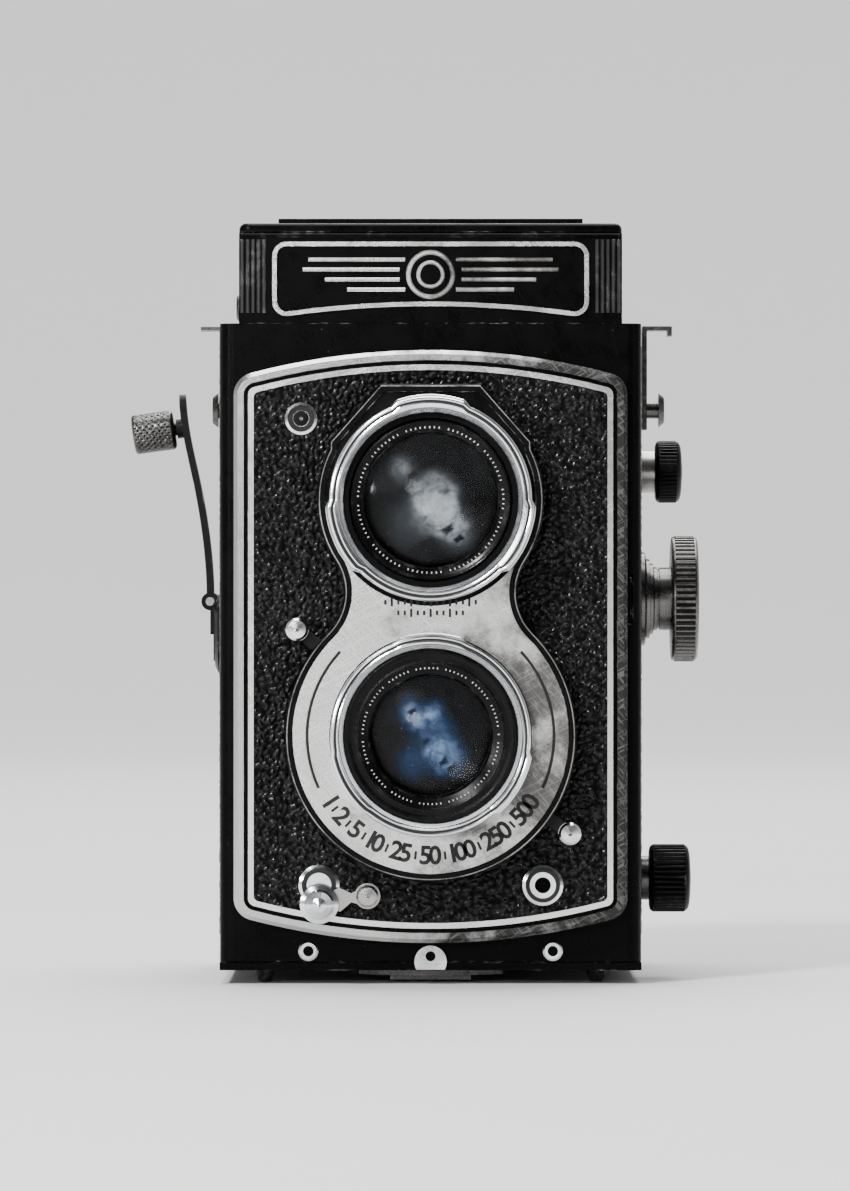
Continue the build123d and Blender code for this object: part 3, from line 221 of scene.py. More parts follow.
def plated(name, bright, dark, smooth, rough, tarnish_at=0.58, brush=0.0, lean=0.0):
    """Plated or bare metal with tarnish, fine scratches and small pits; lean adds painted shade towards +X,
    darkening that side through the tarnish mask.
    """
    look = Looks.new(name)
    clouds = look.noise(9.0, 5.0, 0.6)
    # painted shade: the lean darkens the metal towards +X by raising the tarnish mask there
    if lean:
        across = look.split(look.place)[0]
        clouds = look.math("ADD", clouds, look.math("MULTIPLY", across, lean / (SHADE_LEAN_WIDTH * MM)))
    fine = look.noise(0.35, 3.0, 0.6)
    stain_and_shade = look.math("ADD", clouds, look.math("MULTIPLY", fine, 0.16))
    tarnish_and_shade = look.step(stain_and_shade, tarnish_at, tarnish_at + 0.34)
    lines = look.math("MAXIMUM", scratches(look, 0.9, 0.7), scratches(look, 1.3, -1.1))
    pits = look.step(look.cells(1.1), 0.02, 0.09, 1.0, 0.0)
    pits = look.math("MULTIPLY", pits, look.step(clouds, 0.46, 0.56))
    colour = look.mix(tarnish_and_shade, bright, dark)
    shown_lines = look.math("MULTIPLY", lines, look.step(clouds, 0.45, 0.6))
    colour = look.mix(look.math("MULTIPLY", shown_lines, 0.10), colour, grey(0.9))
    colour = look.mix(look.math("MULTIPLY", pits, 0.75), colour, grey(0.04))
    roughness = look.between(tarnish_and_shade, smooth, rough)
    roughness = look.math("ADD", roughness, look.math("MULTIPLY", lines, 0.05))
    height = look.math("SUBTRACT", look.math("MULTIPLY", fine, 0.3), pits)
    if brush:
        height = look.math("ADD", height, look.math("MULTIPLY", look.noise(0.12, 2.0, 0.5), brush))
    normal = look.bump(height, 0.012, 0.55)
    return look.finish(colour, roughness, normal, 1.0)


def hide(name, base, grain_mm, sheen_rough):
    """Black pebbled leatherette; its lumps are polished and lighter on top, with painted shade darkening the
    valleys between them.
    """
    look = Looks.new(name)
    shift = look.noise(0.9, 3.0, 0.6)
    links = [("Vector", look.place), ("Scale", 1 / (grain_mm * MM)), ("Smoothness", 0.6)]
    lumps = look.add("ShaderNodeTexVoronoi", links, feature="SMOOTH_F1")
    fine = look.noise(0.14, 3.0, 0.6)
    high = look.step(lumps.outputs["Distance"], 0.15, 0.75, 1.0, 0.0)
    worn = look.step(look.noise(9.0, 4.0, 0.6), 0.42, 0.7)
    # painted shade: the valleys between lumps are darker than their tops
    colour = look.mix(high, grey(base * 0.45), grey(base * 1.5, 0.03))
    colour = look.mix(look.math("MULTIPLY", look.math("MULTIPLY", high, worn), 0.2), colour, grey(0.03, 0.04))
    roughness = look.between(high, sheen_rough + 0.34, sheen_rough)
    roughness = look.math("ADD", roughness, look.math("MULTIPLY", look.math("SUBTRACT", shift, 0.5), 0.2))
    look.join(look.between(high, 0.06, 0.25), look.shader.inputs["Specular IOR Level"])
    normal = look.bump(high, 0.10, 0.6)
    normal = look.bump(fine, 0.012, 0.5, normal)
    return look.finish(colour, roughness, normal)


def ground_surface(name):
    look = Looks.new(name, Transmission_Weight=0.75, IOR=1.5)
    grain = look.noise(0.08, 2.0, 0.5)
    colour = look.mix(look.noise(6.0, 4.0, 0.6), grey(0.62, 0.02), grey(0.8))
    return look.finish(colour, look.step(grain, 0.2, 0.8, 0.35, 0.6), look.bump(grain, 0.01, 0.6))


def lens_glass(name):
    """Clear coated glass with faint cleaning marks and dust."""
    look = Looks.new(name, Transmission_Weight=1.0, IOR=1.17)
    marks = look.math("MULTIPLY", scratches(look, 0.8, 0.4, 0.02), 0.03)
    dust = look.step(look.cells(1.7), 0.02, 0.05, 1.0, 0.0)
    colour = look.mix(look.math("MULTIPLY", dust, 0.25), (0.93, 0.96, 1.0, 1.0), grey(0.6))
    roughness = look.math("ADD", look.math("MULTIPLY", dust, 0.3), look.math("ADD", marks, 0.09))
    return look.finish(colour, roughness)


def painted_reflection_face(name, centre_z, patches, light, deep, edge):
    """An inner lens face carrying painted reflections: soft light patches over a dark barrel.

    A patch is (x, z, clear, faded, strength): full up to one distance from x, z and gone at the other.
    One of negative strength is a painted dark bar in the reflection.
    """
    look = Looks.new(name, Specular_IOR_Level=0.06)
    drift = look.noise(3.2, 2.0, 0.5)
    ragged = look.math("MULTIPLY", look.math("SUBTRACT", drift, 0.5), 2.2 * MM)
    # painted reflection of the studio: light patches and dark bars summed into one mask
    painted_reflection = 0.0
    for x, z, clear, faded, strength in patches:
        flat = look.flat_offset(x, centre_z + z)
        if strength > 0:
            away = look.length(flat)
        else:
            sides = look.split(look.spun(flat, BAR_TURN))
            tall = look.math("MULTIPLY", look.math("ABSOLUTE", sides[2]), BAR_SLIM)
            away = look.math("MAXIMUM", look.math("ABSOLUTE", sides[0]), tall)
        away = look.math("ADD", away, ragged)
        painted_reflection = look.math("ADD", painted_reflection, look.step(away, clear * MM, faded * MM, strength, 0.0))
    painted_reflection = look.math("MINIMUM", painted_reflection, 1.0)
    streaks = look.step(look.noise(1.3, 3.0, 0.55, distortion=0.4), 0.35, 0.7, 1.0, 0.72)
    painted_reflection = look.math("MULTIPLY", look.math("MAXIMUM", painted_reflection, 0.0), streaks)
    tint = look.mix(look.step(painted_reflection, 0.15, 0.8), edge, light)
    colour = look.mix(painted_reflection, deep, tint)
    return look.finish(colour, look.step(drift, 0.3, 0.7, 0.18, 0.34))


def ribbed(name, centre, grip, radii, bright, dark):
    """Turned steel along X, blackened between the ribs of its grip.

    The grip is two x, and the radii are those of a valley and a crest.
    """
    look = Looks(plated(name, bright, dark, 0.26, 0.42, 0.52))
    offset = look.vector("SUBTRACT", look.place, (0.0, centre[0] * MM, centre[1] * MM))
    x, y, z = look.split(offset)
    away = look.math("SQRT", look.math("ADD", look.math("POWER", y, 2.0), look.math("POWER", z, 2.0)))
    low = look.step(away, radii[0] * MM, radii[1] * MM, 1.0, 0.0)
    inside = look.math("GREATER_THAN", x, grip[0] * MM)
    inside = look.math("MULTIPLY", inside, look.math("LESS_THAN", x, grip[1] * MM))
    low = look.math("MULTIPLY", low, inside)
    look.lay_over(low, "Base Color", grey(0.008))
    look.lay_over(low, "Roughness", 0.6)
    look.lay_over(low, "Metallic", 0.0)
    return look.material


def headed(name, angle):
    """Polished metal round a lever's head, near black along its arm."""
    look = Looks(plated(name, grey(0.84), grey(0.5, 0.01), 0.14, 0.3, 0.56))
    turn = radians(angle)
    head = look.flat_offset(LEVER_REACH * cos(turn), TAKING_Z + LEVER_REACH * sin(turn))
    arm = look.step(look.length(head), 2.0 * MM, 2.15 * MM)
    look.lay_over(arm, "Base Color", grey(0.02))
    look.lay_over(arm, "Roughness", 0.45)
    return look.material


def silvered(name):
    look = Looks.new(name)
    haze = look.noise(7.0, 5.0, 0.6)
    colour = look.mix(haze, grey(0.80), grey(0.92))
    return look.finish(colour, look.step(haze, 0.4, 0.8, 0.02, 0.12), None, 1.0)


def plain_floor(name):
    """Pale paper sweep, paler up the wall behind and dim on the side the camera stands."""
    look = Looks.new(name, Specular_IOR_Level=0.2)
    split = look.split(look.place)
    behind = look.step(split[1], 0.8, 3.2)
    facing = look.step(split[1], -2.6, -1.2, 1.0, 0.0)
    mottle = look.noise(60.0, 4.0, 0.5)
    colour = look.mix(mottle, grey(0.67, 0.006), grey(0.70, 0.006))
    colour = look.mix(behind, colour, grey(0.90, 0.006))
    colour = look.mix(facing, colour, grey(0.10))
    return look.finish(colour, 0.85, look.bump(look.noise(1.2, 3.0, 0.6), 0.02, 0.15))


BLACK = enamel("black_enamel", 0.0008, 0.22, 0.6, 0.05, 0.24)
KNOB_BLACK = enamel("knob_black", 0.002, 0.28, 0.7, 0.12, 0.24)
HOUSING_BLACK = enamel("housing_black", 0.0014, 0.2, 0.8, 0.08, 0.24)
RING_BLACK = enamel("ring_black", 0.0015, 0.18, 0.45, 0.12, 0.1)
EDGE_LINE_METAL = plated("bright_edge_line", grey(0.34, 0.02), grey(0.05, 0.02), 0.3, 0.5, 0.42)
# Painted highlight: a paler copy of the black enamel with more bare edges, so the hood's ribs show as lighter
# stripes.
RIB_BLACK_LIT = enamel("rib_black_lit", 0.006, 0.3, 0.9, 0.4, 0.35)
INSIDE = enamel("dark_inside", 0.002, 0.62, 0.1, 0.06)
CHROME = plated("chrome", (0.86, 0.88, 0.91, 1), grey(0.42, 0.01), 0.12, 0.28, 0.54)
# The plate and the rim lean: painted shade darkens them towards +X, on top of their tarnish.
NICKEL = plated("satin_nickel", grey(0.72, 0.012), grey(0.10, 0.04), 0.26, 0.44, 0.46, 0.25, 0.26)
RIM_METAL = plated("rim_metal", grey(0.54, 0.01), grey(0.03, 0.03), 0.22, 0.46, 0.44, 0.2, 0.28)
TRIM_METAL = plated("trim_metal", grey(0.86, 0.01), grey(0.5, 0.03), 0.2, 0.4, 0.54, 0.1)
STEEL = plated("steel", grey(0.42, 0.02), grey(0.20, 0.03), 0.20, 0.38, 0.52)
DARK_STEEL = plated("knurled_steel", grey(0.085, 0.02), grey(0.035, 0.03), 0.24, 0.42, 0.50)
BRASS = plated("brass", (0.75, 0.56, 0.28, 1), (0.34, 0.22, 0.10, 1), 0.22, 0.45)
FOCUS_STEEL = ribbed(
    "ribbed_steel", (FOCUS_Y, FOCUS_Z), (44.95, 48.52), (11.15, 11.5), grey(0.12, 0.03), grey(0.05, 0.05)
)
LEATHER = hide("leather", 0.0015, 0.95, 0.16)
GLASS = lens_glass("coated_glass")
GROUND = ground_surface("ground_glass")
MIRROR = silvered("mirror")
MARK = enamel("white_marks", 0.42, 0.5, 0.0)
ENGRAVED = enamel("engraved_black", 0.006, 0.5, 0.0, 0.3)
# Painted reflections on the inner faces of the viewing and taking lenses.
VIEW_PAINTED_REFLECTION = painted_reflection_face(
    "viewing_painted_reflection",
    VIEWING_Z,
    [
        (0.8, 1.0, 3.0, 5.4, 0.48), (1.6, -2.2, 1.6, 6.4, 0.42), (4.4, -5.6, 0.6, 4.8, 0.5),
        (-4.8, 5.6, 0.3, 3.4, 0.6), (-3.0, -3.6, 0.8, 6.5, 0.22), (-3.2, 4.4, 0.2, 1.2, -0.7),
        (3.2, -5.0, 0.5, 1.5, -0.7), (4.8, -6.6, 0.3, 1.0, -0.5), (2.6, 1.6, 0.2, 1.7, -0.3),
        (-0.8, -2.9, 0.1, 1.3, -0.25), (-1.0, -8.6, 0.5, 3.0, -0.4),
    ],
    grey(0.66, -0.03),
    grey(0.006),
    (0.15, 0.17, 0.19, 1),
)
TAKE_PAINTED_REFLECTION = painted_reflection_face(
    "taking_painted_reflection",
    TAKING_Z,
    [
        (0.4, 0.6, 1.0, 5.2, 0.4), (2.6, -3.8, 1.0, 4.8, 0.55), (-3.0, 4.0, 0.6, 3.8, 0.6),
        (0.8, 4.6, 0.4, 2.8, 0.35), (-2.8, -4.6, 0.5, 4.4, 0.3), (-3.0, 4.2, 0.2, 1.3, -0.75),
        (-0.8, -1.0, 0.1, 1.0, -0.3), (2.2, -4.6, 0.3, 1.2, -0.5), (3.8, -5.6, 0.2, 1.0, -0.4),
    ],
    (0.40, 0.56, 0.84, 1),
    grey(0.005),
    (0.03, 0.10, 0.27, 1),
)

SLOT_LOOK = {
    "black_enamel": BLACK,
    "dark_inside": INSIDE,
    "leather": LEATHER,
    "chrome": CHROME,
    "satin_nickel": NICKEL,
    "steel": STEEL,
    "knurled_steel": DARK_STEEL,
    "brass": BRASS,
    "coated_glass": GLASS,
    "ground_glass": GROUND,
    "mirror": MIRROR,
}
NODE_LOOK = {
    "panel_rim": RIM_METAL,
    "lens_housing": HOUSING_BLACK,
    "crank_arm": KNOB_BLACK,
    "crank_hub": KNOB_BLACK,
    "panel_trim": TRIM_METAL,
    "strap_clips": DARK_STEEL,
    "strap_studs": DARK_STEEL,
    "tripod_bush": DARK_STEEL,
    "door_latch": DARK_STEEL,
    "door_feet": DARK_STEEL,
    "upper_knob_sleeve": STEEL,
    "lower_knob_sleeve": DARK_STEEL,
    "nameplate_frame": TRIM_METAL,
    "viewing_barrel": RING_BLACK,
    "taking_barrel": RING_BLACK,
    "left_side_cover": INSIDE,
    "right_side_cover": INSIDE,
    "hood_button": DARK_STEEL,
    "aperture_lever": headed("aperture_lever_steel", APERTURE_AT),
    "speed_lever": headed("speed_lever_steel", SPEED_AT),
}
slots = {row["node"]: row["material_slot"] for row in frame["record"]["subparts"]}
for node_name, node_object in NODES.items():
    look = NODE_LOOK.get(node_name, SLOT_LOOK[slots[node_name]])
    node_object.data.materials.clear()
    node_object.data.materials.append(look)


# ---------------------------------------------------------------- building pieces
def piece(name, points, faces, body, look, slot, replaces=(), sharp=32.0, smooth=True):
    """A mesh from points in millimetres, riding on a body."""
    mesh = bpy.data.meshes.new(name)
    mesh.from_pydata([tuple(c * MM for c in p) for p in points], [], faces)
    mesh.validate()
    if smooth:
        mesh.shade_smooth()
        mesh.set_sharp_from_angle(angle=radians(sharp))
    mesh.materials.append(look)
    made = bpy.data.objects.new(name, mesh)
    bpy.context.scene.collection.objects.link(made)
    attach(made, body)
    if replaces:
        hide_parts(*replaces)
    return made


def lathe(centre, axis, profile, sections=96, ripple=None):
    """Points and faces of a profile of (along, radius) turned about an axis through centre."""
    along = Vector(axis).normalized()
    side = along.cross(Vector((0, 0, 1)))
    if side.length < 1e-6:
        side = Vector((1, 0, 0))
    side.normalize()
    up = side.cross(along)
    middle = Vector(centre)
    points, rings = [], []
    for index, (height, radius) in enumerate(profile):
        if radius <= 1e-6:
            rings.append([len(points)])
            points.append(tuple(middle + along * height))
            continue
        rings.append(list(range(len(points), len(points) + sections)))
        for turn in range(sections):
            angle = 2 * pi * turn / sections
            out = radius - (ripple(index, height, angle) if ripple else 0.0)
            spoke = side * (out * cos(angle)) + up * (out * sin(angle))
            points.append(tuple(middle + along * height + spoke))
    faces = []
    for low, high in zip(rings, rings[1:]):
        for turn in range(sections):
            following = (turn + 1) % sections
            if len(low) == 1 and len(high) == 1:
                break
            if len(low) == 1:
                faces.append((low[0], high[following], high[turn]))
            elif len(high) == 1:
                faces.append((low[turn], low[following], high[0]))
            else:
                faces.append((low[turn], low[following], high[following], high[turn]))
    return points, faces


def merge(*parts):
    """Several (points, faces) as one."""
    points, faces = [], []
    for part_points, part_faces in parts:
        start = len(points)
        points += list(part_points)
        faces += [tuple(start + i for i in face) for face in part_faces]
    return points, faces


def slab(outline, front, back):
    """A flat outline of (x, z) points as a plate between two y."""
    count = len(outline)
    points = [(x, back, z) for x, z in outline] + [(x, front, z) for x, z in outline]
    faces = [tuple(range(count, 2 * count)), tuple(reversed(range(count)))]
    for i in range(count):
        j = (i + 1) % count
        faces.append((i, j, count + j, count + i))
    return points, faces


def ribbon(line, half, front, back, closed=False):
    """A raised strip along a line of (x, z) points, rounded over its front."""
    count = len(line)
    points, faces = [], []
    shoulder = front + half * 0.5
    profile = [(-1.0, back), (-1.0, shoulder), (-0.45, front), (0.45, front), (1.0, shoulder), (1.0, back)]
    for i, (x, z) in enumerate(line):
        before = line[i - 1] if i or closed else line[0]
        after = line[(i + 1) % count] if i < count - 1 or closed else line[-1]
        dx, dz = after[0] - before[0], after[1] - before[1]
        size = hypot(dx, dz) or 1.0
        nx, nz = dz / size, -dx / size
        points += [(x + nx * half * across, y, z + nz * half * across) for across, y in profile]
    width = len(profile)
    spans = count if closed else count - 1
    for i in range(spans):
        j = (i + 1) % count
        for k in range(width - 1):
            faces.append((i * width + k, i * width + k + 1, j * width + k + 1, j * width + k))
    if not closed:
        faces.append(tuple(range(width)))
        faces.append(tuple(reversed(range((count - 1) * width, count * width))))
    return points, faces


def arc_line(centre_z, radius, start, end, steps=48, centre_x=0.0):
    return [
        (
            centre_x + radius * cos(radians(start + (end - start) * i / steps)),
            centre_z + radius * sin(radians(start + (end - start) * i / steps)),
        )
        for i in range(steps + 1)
    ]


def dashes(centre_z, radius, angles, wide, tall, front, back):
    """Small upright bars standing on a circle."""
    parts = []
    for angle in angles:
        turn = radians(angle)
        out, along = (cos(turn), sin(turn)), (-sin(turn), cos(turn))
        corners = ((-wide, -tall), (wide, -tall), (wide, tall), (-wide, tall))
        outline = [
            (
                out[0] * (radius + v / 2) + along[0] * u / 2,
                centre_z + out[1] * (radius + v / 2) + along[1] * u / 2,
            )
            for u, v in corners
        ]
        parts.append(slab(outline, front, back))
    return merge(*parts)


def numeral(text, size, place, turn, front):
    """Flat digits as (points, faces), centred on place and turned in the XZ plane."""
    curve = bpy.data.curves.new("digits", "FONT")
    curve.body = text
    curve.size = size
    curve.align_x = "CENTER"
    curve.align_y = "CENTER"
    curve.resolution_u = 3
    curve.offset = size * 0.028
    holder = bpy.data.objects.new("digits", curve)
    bpy.context.scene.collection.objects.link(holder)
    mesh = bpy.data.meshes.new_from_object(holder.evaluated_get(bpy.context.evaluated_depsgraph_get()))
    points = []
    for vertex in mesh.vertices:
        u, v = vertex.co.x, vertex.co.y
        x, z = u * cos(turn) - v * sin(turn), u * sin(turn) + v * cos(turn)
        points.append((place[0] + x, front, place[1] + z))
    faces = [tuple(p.vertices) for p in mesh.polygons]
    bpy.data.objects.remove(holder)
    bpy.data.meshes.remove(mesh)
    bpy.data.curves.remove(curve)
    return points, faces


# ---------------------------------------------------------------- leatherette
def pebbles(u, v, size, seed):
    """Height from 0 to 1 of irregular leather lumps at points u, v in millimetres."""
    random = np.random.default_rng(seed)
    lattice = random.random((256, 256, 3))
    bend = 0.22 * size
    u = u + bend * np.sin(v * 2.1 / size + 1.3 * np.sin(u * 0.9 / size))
    v = v + bend * np.sin(u * 1.7 / size + 1.1 * np.sin(v * 1.2 / size))
    cell_u, cell_v = np.floor(u / size).astype(int), np.floor(v / size).astype(int)
    first = np.full(u.shape, 9.0)
    second = np.full(u.shape, 9.0)
    tall = np.zeros(u.shape)
    for du in (-1, 0, 1):
        for dv in (-1, 0, 1):
            spot = lattice[(cell_u + du) % 256, (cell_v + dv) % 256]
            away = np.hypot(u / size - cell_u - du - spot[..., 0], v / size - cell_v - dv - spot[..., 1])
            nearer = away < first
            second = np.where(nearer, first, np.minimum(second, away))
            tall = np.where(nearer, spot[..., 2], tall)
            first = np.minimum(first, away)
    crease = np.clip((second - first) / 0.34, 0, 1)
    crease = crease * crease * (3 - 2 * crease)
    return crease * (0.55 + 0.45 * tall)


def outline_edges(node, axis, level):
    """Edges round a CAD node's flat faces at one level of an axis, as pairs of (u, v) in millimetres."""
    mesh = NODES[node].data
    across = [i for i in range(3) if i != axis]
    seen = {}
    co = [tuple(c / MM for c in v.co) for v in mesh.vertices]
    for face in mesh.polygons:
        tilted = abs(abs(face.normal[axis]) - 1) > 1e-3
        if tilted or any(abs(co[i][axis] - level) > 0.03 for i in face.vertices):
            continue
        corners = [tuple(round(co[i][a], 3) for a in across) for i in face.vertices]
        for a, b in zip(corners, corners[1:] + corners[:1]):
            key = (min(a, b), max(a, b))
            seen[key] = seen.get(key, 0) + 1
    return np.array([key for key, count in seen.items() if count == 1], float)


def signed_reach(points, edges):
    """Distance of each point from the outline, positive inside it."""
    reach = np.full(len(points), 1e9)
    inside = np.zeros(len(points), bool)
    for (au, av), (bu, bv) in edges:
        du, dv = bu - au, bv - av
        along = (points[:, 0] - au) * du + (points[:, 1] - av) * dv
        share = np.clip(along / (du * du + dv * dv + 1e-12), 0, 1)
        reach = np.minimum(reach, np.hypot(points[:, 0] - au - share * du, points[:, 1] - av - share * dv))
        crosses = (av > points[:, 1]) != (bv > points[:, 1])
        at = au + (points[:, 1] - av) * du / (dv if abs(dv) > 1e-9 else 1e-9)
        inside ^= crosses & (points[:, 0] < at)
    return np.where(inside, reach, -reach)


def grain_skin(name, node_edges, axis, level, sign, body, spacing, size, height, spread, seed):
    """A sheet of leather lumps lying on a flat face; spread is how far it runs under the trim round it."""
    low, high = node_edges.reshape(-1, 2).min(0) - spread, node_edges.reshape(-1, 2).max(0) + spread
    counts = [max(2, int(round((b - a) / spacing)) + 1) for a, b in zip(low, high)]
    us, vs = (np.linspace(a, b, n) for a, b, n in zip(low, high, counts))
    grid_u, grid_v = np.meshgrid(us, vs, indexing="ij")
    flat = np.stack([grid_u.ravel(), grid_v.ravel()], 1)
    reach = signed_reach(flat, node_edges)
    rise = height * pebbles(flat[:, 0], flat[:, 1], size, seed)
    taper = np.clip((reach + spread) / 0.45, 0, 1)
    outward = level + sign * (0.012 + rise * taper)
    points = np.zeros((len(flat), 3))
    across = [i for i in range(3) if i != axis]
    points[:, across[0]], points[:, across[1]], points[:, axis] = flat[:, 0], flat[:, 1], outward
    index = np.arange(len(flat)).reshape(counts)
    quads = np.stack([index[:-1, :-1], index[1:, :-1], index[1:, 1:], index[:-1, 1:]], -1).reshape(-1, 4)
    quads = quads[(reach[quads] > -spread - 1e-6).sum(1) >= 4]
    forward = (sign > 0) == (axis != 1)
    quads = quads if forward else quads[:, ::-1]
    used = np.unique(quads)
    remap = np.zeros(len(flat), int)
    remap[used] = np.arange(len(used))
    mesh = bpy.data.meshes.new(name)
    mesh.vertices.add(len(used))
    mesh.vertices.foreach_set("co", (points[used] * MM).astype(np.float32).ravel())
    mesh.loops.add(quads.size)
    mesh.loops.foreach_set("vertex_index", remap[quads].astype(np.int32).ravel())
    mesh.polygons.add(len(quads))
    mesh.polygons.foreach_set("loop_start", np.arange(0, quads.size, 4, dtype=np.int32))
    mesh.update(calc_edges=True)
    mesh.validate()
    mesh.shade_smooth()
    mesh.materials.append(LEATHER)
    made = bpy.data.objects.new(name, mesh)
    bpy.context.scene.collection.objects.link(made)
    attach(made, body)
    return made


def rectangle_edges(u0, u1, v0, v1):
    corners = [(u0, v0), (u1, v0), (u1, v1), (u0, v1)]
    return [(a, b) for a, b in zip(corners, corners[1:] + corners[:1])]


def circle_edges(u, v, radius, count=48):
    turns = [2 * pi * i / count for i in range(count)]
    ring = [(u + radius * cos(turn), v + radius * sin(turn)) for turn in turns]
    return [(a, b) for a, b in zip(ring, ring[1:] + ring[:1])]


front_edges = outline_edges("front_leather", 1, LEATHER_Y)
grain_skin("front_grain", front_edges, 1, LEATHER_Y, -1, "front_standard", 0.22, 1.15, 0.38, 0.35, 3)
side_edges = rectangle_edges(-24.9, 32.9, 6.1, 112.9)
left_edges = np.array(side_edges + circle_edges(CRANK_Y, RECESS_Z, 4.9), float)
grain_skin("left_grain", left_edges, 0, -SIDE_X, -1, "camera_body", 0.4, 1.0, 0.22, 0.0, 4)
right_edges = np.array(side_edges + circle_edges(*UPPER_KNOB, 4.6) + circle_edges(*LOWER_KNOB, 4.6), float)
grain_skin("right_grain", right_edges, 0, SIDE_X, 1, "camera_body", 0.4, 1.0, 0.22, 0.0, 5)
door_edges = np.array(rectangle_edges(-33.9, 33.9, 4.1, 95.9), float)
grain_skin("door_grain", door_edges, 1, DOOR_Y, 1, "back_door", 0.4, 1.0, 0.3, 0.0, 6)
lid_edges = rectangle_edges(-26.4, 26.4, -22.9, 26.9) + rectangle_edges(-13.5, 13.5, -11.5, 15.7)
grain_skin("lid_grain", np.array(lid_edges, float), 2, LID_Z, 1, "hood_lid", 0.4, 1.0, 0.3, 0.0, 7)


# ---------------------------------------------------------------- knobs and crank handle
RIBS = 64


def focus_ripple(index, height, angle):
    if not 44.95 < height < 48.55:
        return 0.0
    wave = 0.5 + 0.5 * cos(RIBS * angle)
    return 0.55 * wave**2


focus_profile = [
    (38.3, 0), (38.3, 8.4), (38.45, 8.6), (39.4, 8.6), (39.6, 8.4), (39.8, 7.4), (40.4, 7.3),
    (40.5, 6.6), (41.0, 6.5), (41.2, 5.9), (41.8, 5.8), (41.9, 5.5), (42.1, 5.5), (42.2, 5.8),
    (44.3, 5.8), (44.4, 6.2), (44.4, 11.0), (44.5, 11.35), (44.8, 11.45), (44.94, 11.45), (45.0, 11.6),
    (46.7, 11.6), (48.5, 11.6), (48.56, 11.45), (48.8, 11.4), (49.1, 11.0), (49.2, 10.7), (49.15, 9.4),
    (48.9, 9.2), (48.9, 8.9), (49.1, 8.7), (49.15, 3.0), (48.9, 2.8), (48.9, 0),
]
piece(
    "focus_knob_detail",
    *lathe((0, FOCUS_Y, FOCUS_Z), (1, 0, 0), focus_profile, RIBS * 8, focus_ripple),
    "focus_knob",
    FOCUS_STEEL,
    "knurled_steel",
    ["focus_knob"],
)


def as_side(part, y, z, x):
    """Turns a flat drawing in XZ to face +X at x, about the point y, z."""
    return [(x - depth, y + across, z + up) for across, depth, up in part[0]], part[1]


scale_ring = dashes(0, 10.1, [i * 18 for i in range(17)], 0.32, 1.0, 0.0, 0.06)
scale_ring = as_side(scale_ring, FOCUS_Y, FOCUS_Z, 49.19)
piece("focus_scale", *scale_ring, "focus_knob", MARK, "satin_nickel", smooth=False)


def spool_knob(name, node, centre, span, radius, count, depth, body):
    """A turned knob between two x, with fine ribs round its grip."""
    y, z = centre
    start, end = span

    def ripple(index, height, angle):
        if not start + 0.75 < height < end - 1.25:
            return 0.0
        return depth * (0.5 + 0.5 * cos(count * angle)) ** 1.5

    profile = [
        (30.5, 0), (30.5, 2.8), (start - 0.02, 2.8), (start, radius - 1.0), (start + 0.15, radius - 0.45),
        (start + 0.5, radius - 0.12), (start + 0.72, radius - 0.05), (start + 0.8, radius),
        ((start + end) / 2, radius), (end - 1.3, radius), (end - 1.2, radius - 0.1),
        (end - 0.8, radius - 0.35), (end - 0.5, radius - 0.8), (end - 0.34, radius - 1.4),
        (end - 0.22, radius - 2.4), (end - 0.3, radius - 2.6), (end - 0.24, radius - 2.9),
        (end - 0.06, 1.2), (end - 0.02, 0),
    ]
    turned = lathe((0, y, z), (1, 0, 0), profile, count * 6, ripple)
    piece(name, *turned, body, KNOB_BLACK, "black_enamel", [node])


spool_knob("upper_knob_detail", "upper_spool_knob", UPPER_KNOB, (42.3, 47.5), 5.85, 44, 0.22, "upper_knob")
spool_knob("lower_knob_detail", "lower_spool_knob", LOWER_KNOB, (40.0, 47.7), 6.2, 40, 0.42, "lower_knob")

TILT = radians(8.0)
HANDLE_AXIS = (-cos(TILT), 0.0, -sin(TILT))
HANDLE_FOOT = Vector((-45.5, 9.2, 98.6))


def diamond_ripple(index, height, angle):
    if not 2.55 < height < 9.25:
        return 0.0
    lean = height * 2 * pi / 1.15
    cross = abs(sin((20 * angle + lean) / 2)) + abs(sin((20 * angle - lean) / 2))
    return 0.34 * (1.0 - min(1.0, cross / 1.1))


handle_profile = [(1.95, 1.3), (1.95, 3.0), (2.05, 3.3), (2.3, 3.55), (2.5, 3.62)]
handle_profile += [(2.56 + 6.66 * i / 40, 3.65) for i in range(41)]
handle_profile += [(9.3, 3.62), (9.55, 3.5), (9.72, 3.2), (9.78, 2.4), (9.62, 2.2), (9.62, 0)]
piece(
    "crank_handle_detail",
    *lathe(HANDLE_FOOT, HANDLE_AXIS, handle_profile, 200, diamond_ripple),
    "crank_handle",
    DARK_STEEL,
    "knurled_steel",
    ["crank_handle"],
)

# rosettes where the knob shafts and the folded handle enter the covers
for rosette, (y, z), inner, outer, x, sign, look in (
    ("upper_knob_rosette", UPPER_KNOB, 4.05, 5.3, SIDE_X, 1, STEEL),
    ("lower_knob_rosette", LOWER_KNOB, 4.05, 5.3, SIDE_X, 1, STEEL),
    ("handle_recess_rim", (CRANK_Y, RECESS_Z), 4.55, 5.5, -SIDE_X, -1, KNOB_BLACK),
):
    ring = [(0.0, inner), (0.18, inner + 0.04), (0.34, inner + 0.2)]
    ring += [(0.38, (inner + outer) / 2), (0.3, outer - 0.15), (0.0, outer)]
    piece(rosette, *lathe((x, y, z), (sign, 0, 0), ring, 72), "camera_body", look, "steel")

# ---------------------------------------------------------------- lens rings


def retainer(name, centre_z, profile):
    """A black ring turned about a lens axis, holding the front element."""
    piece(name, *lathe((0, 0, centre_z), (0, 1, 0), profile, 144), "front_standard", RING_BLACK, "black_enamel")


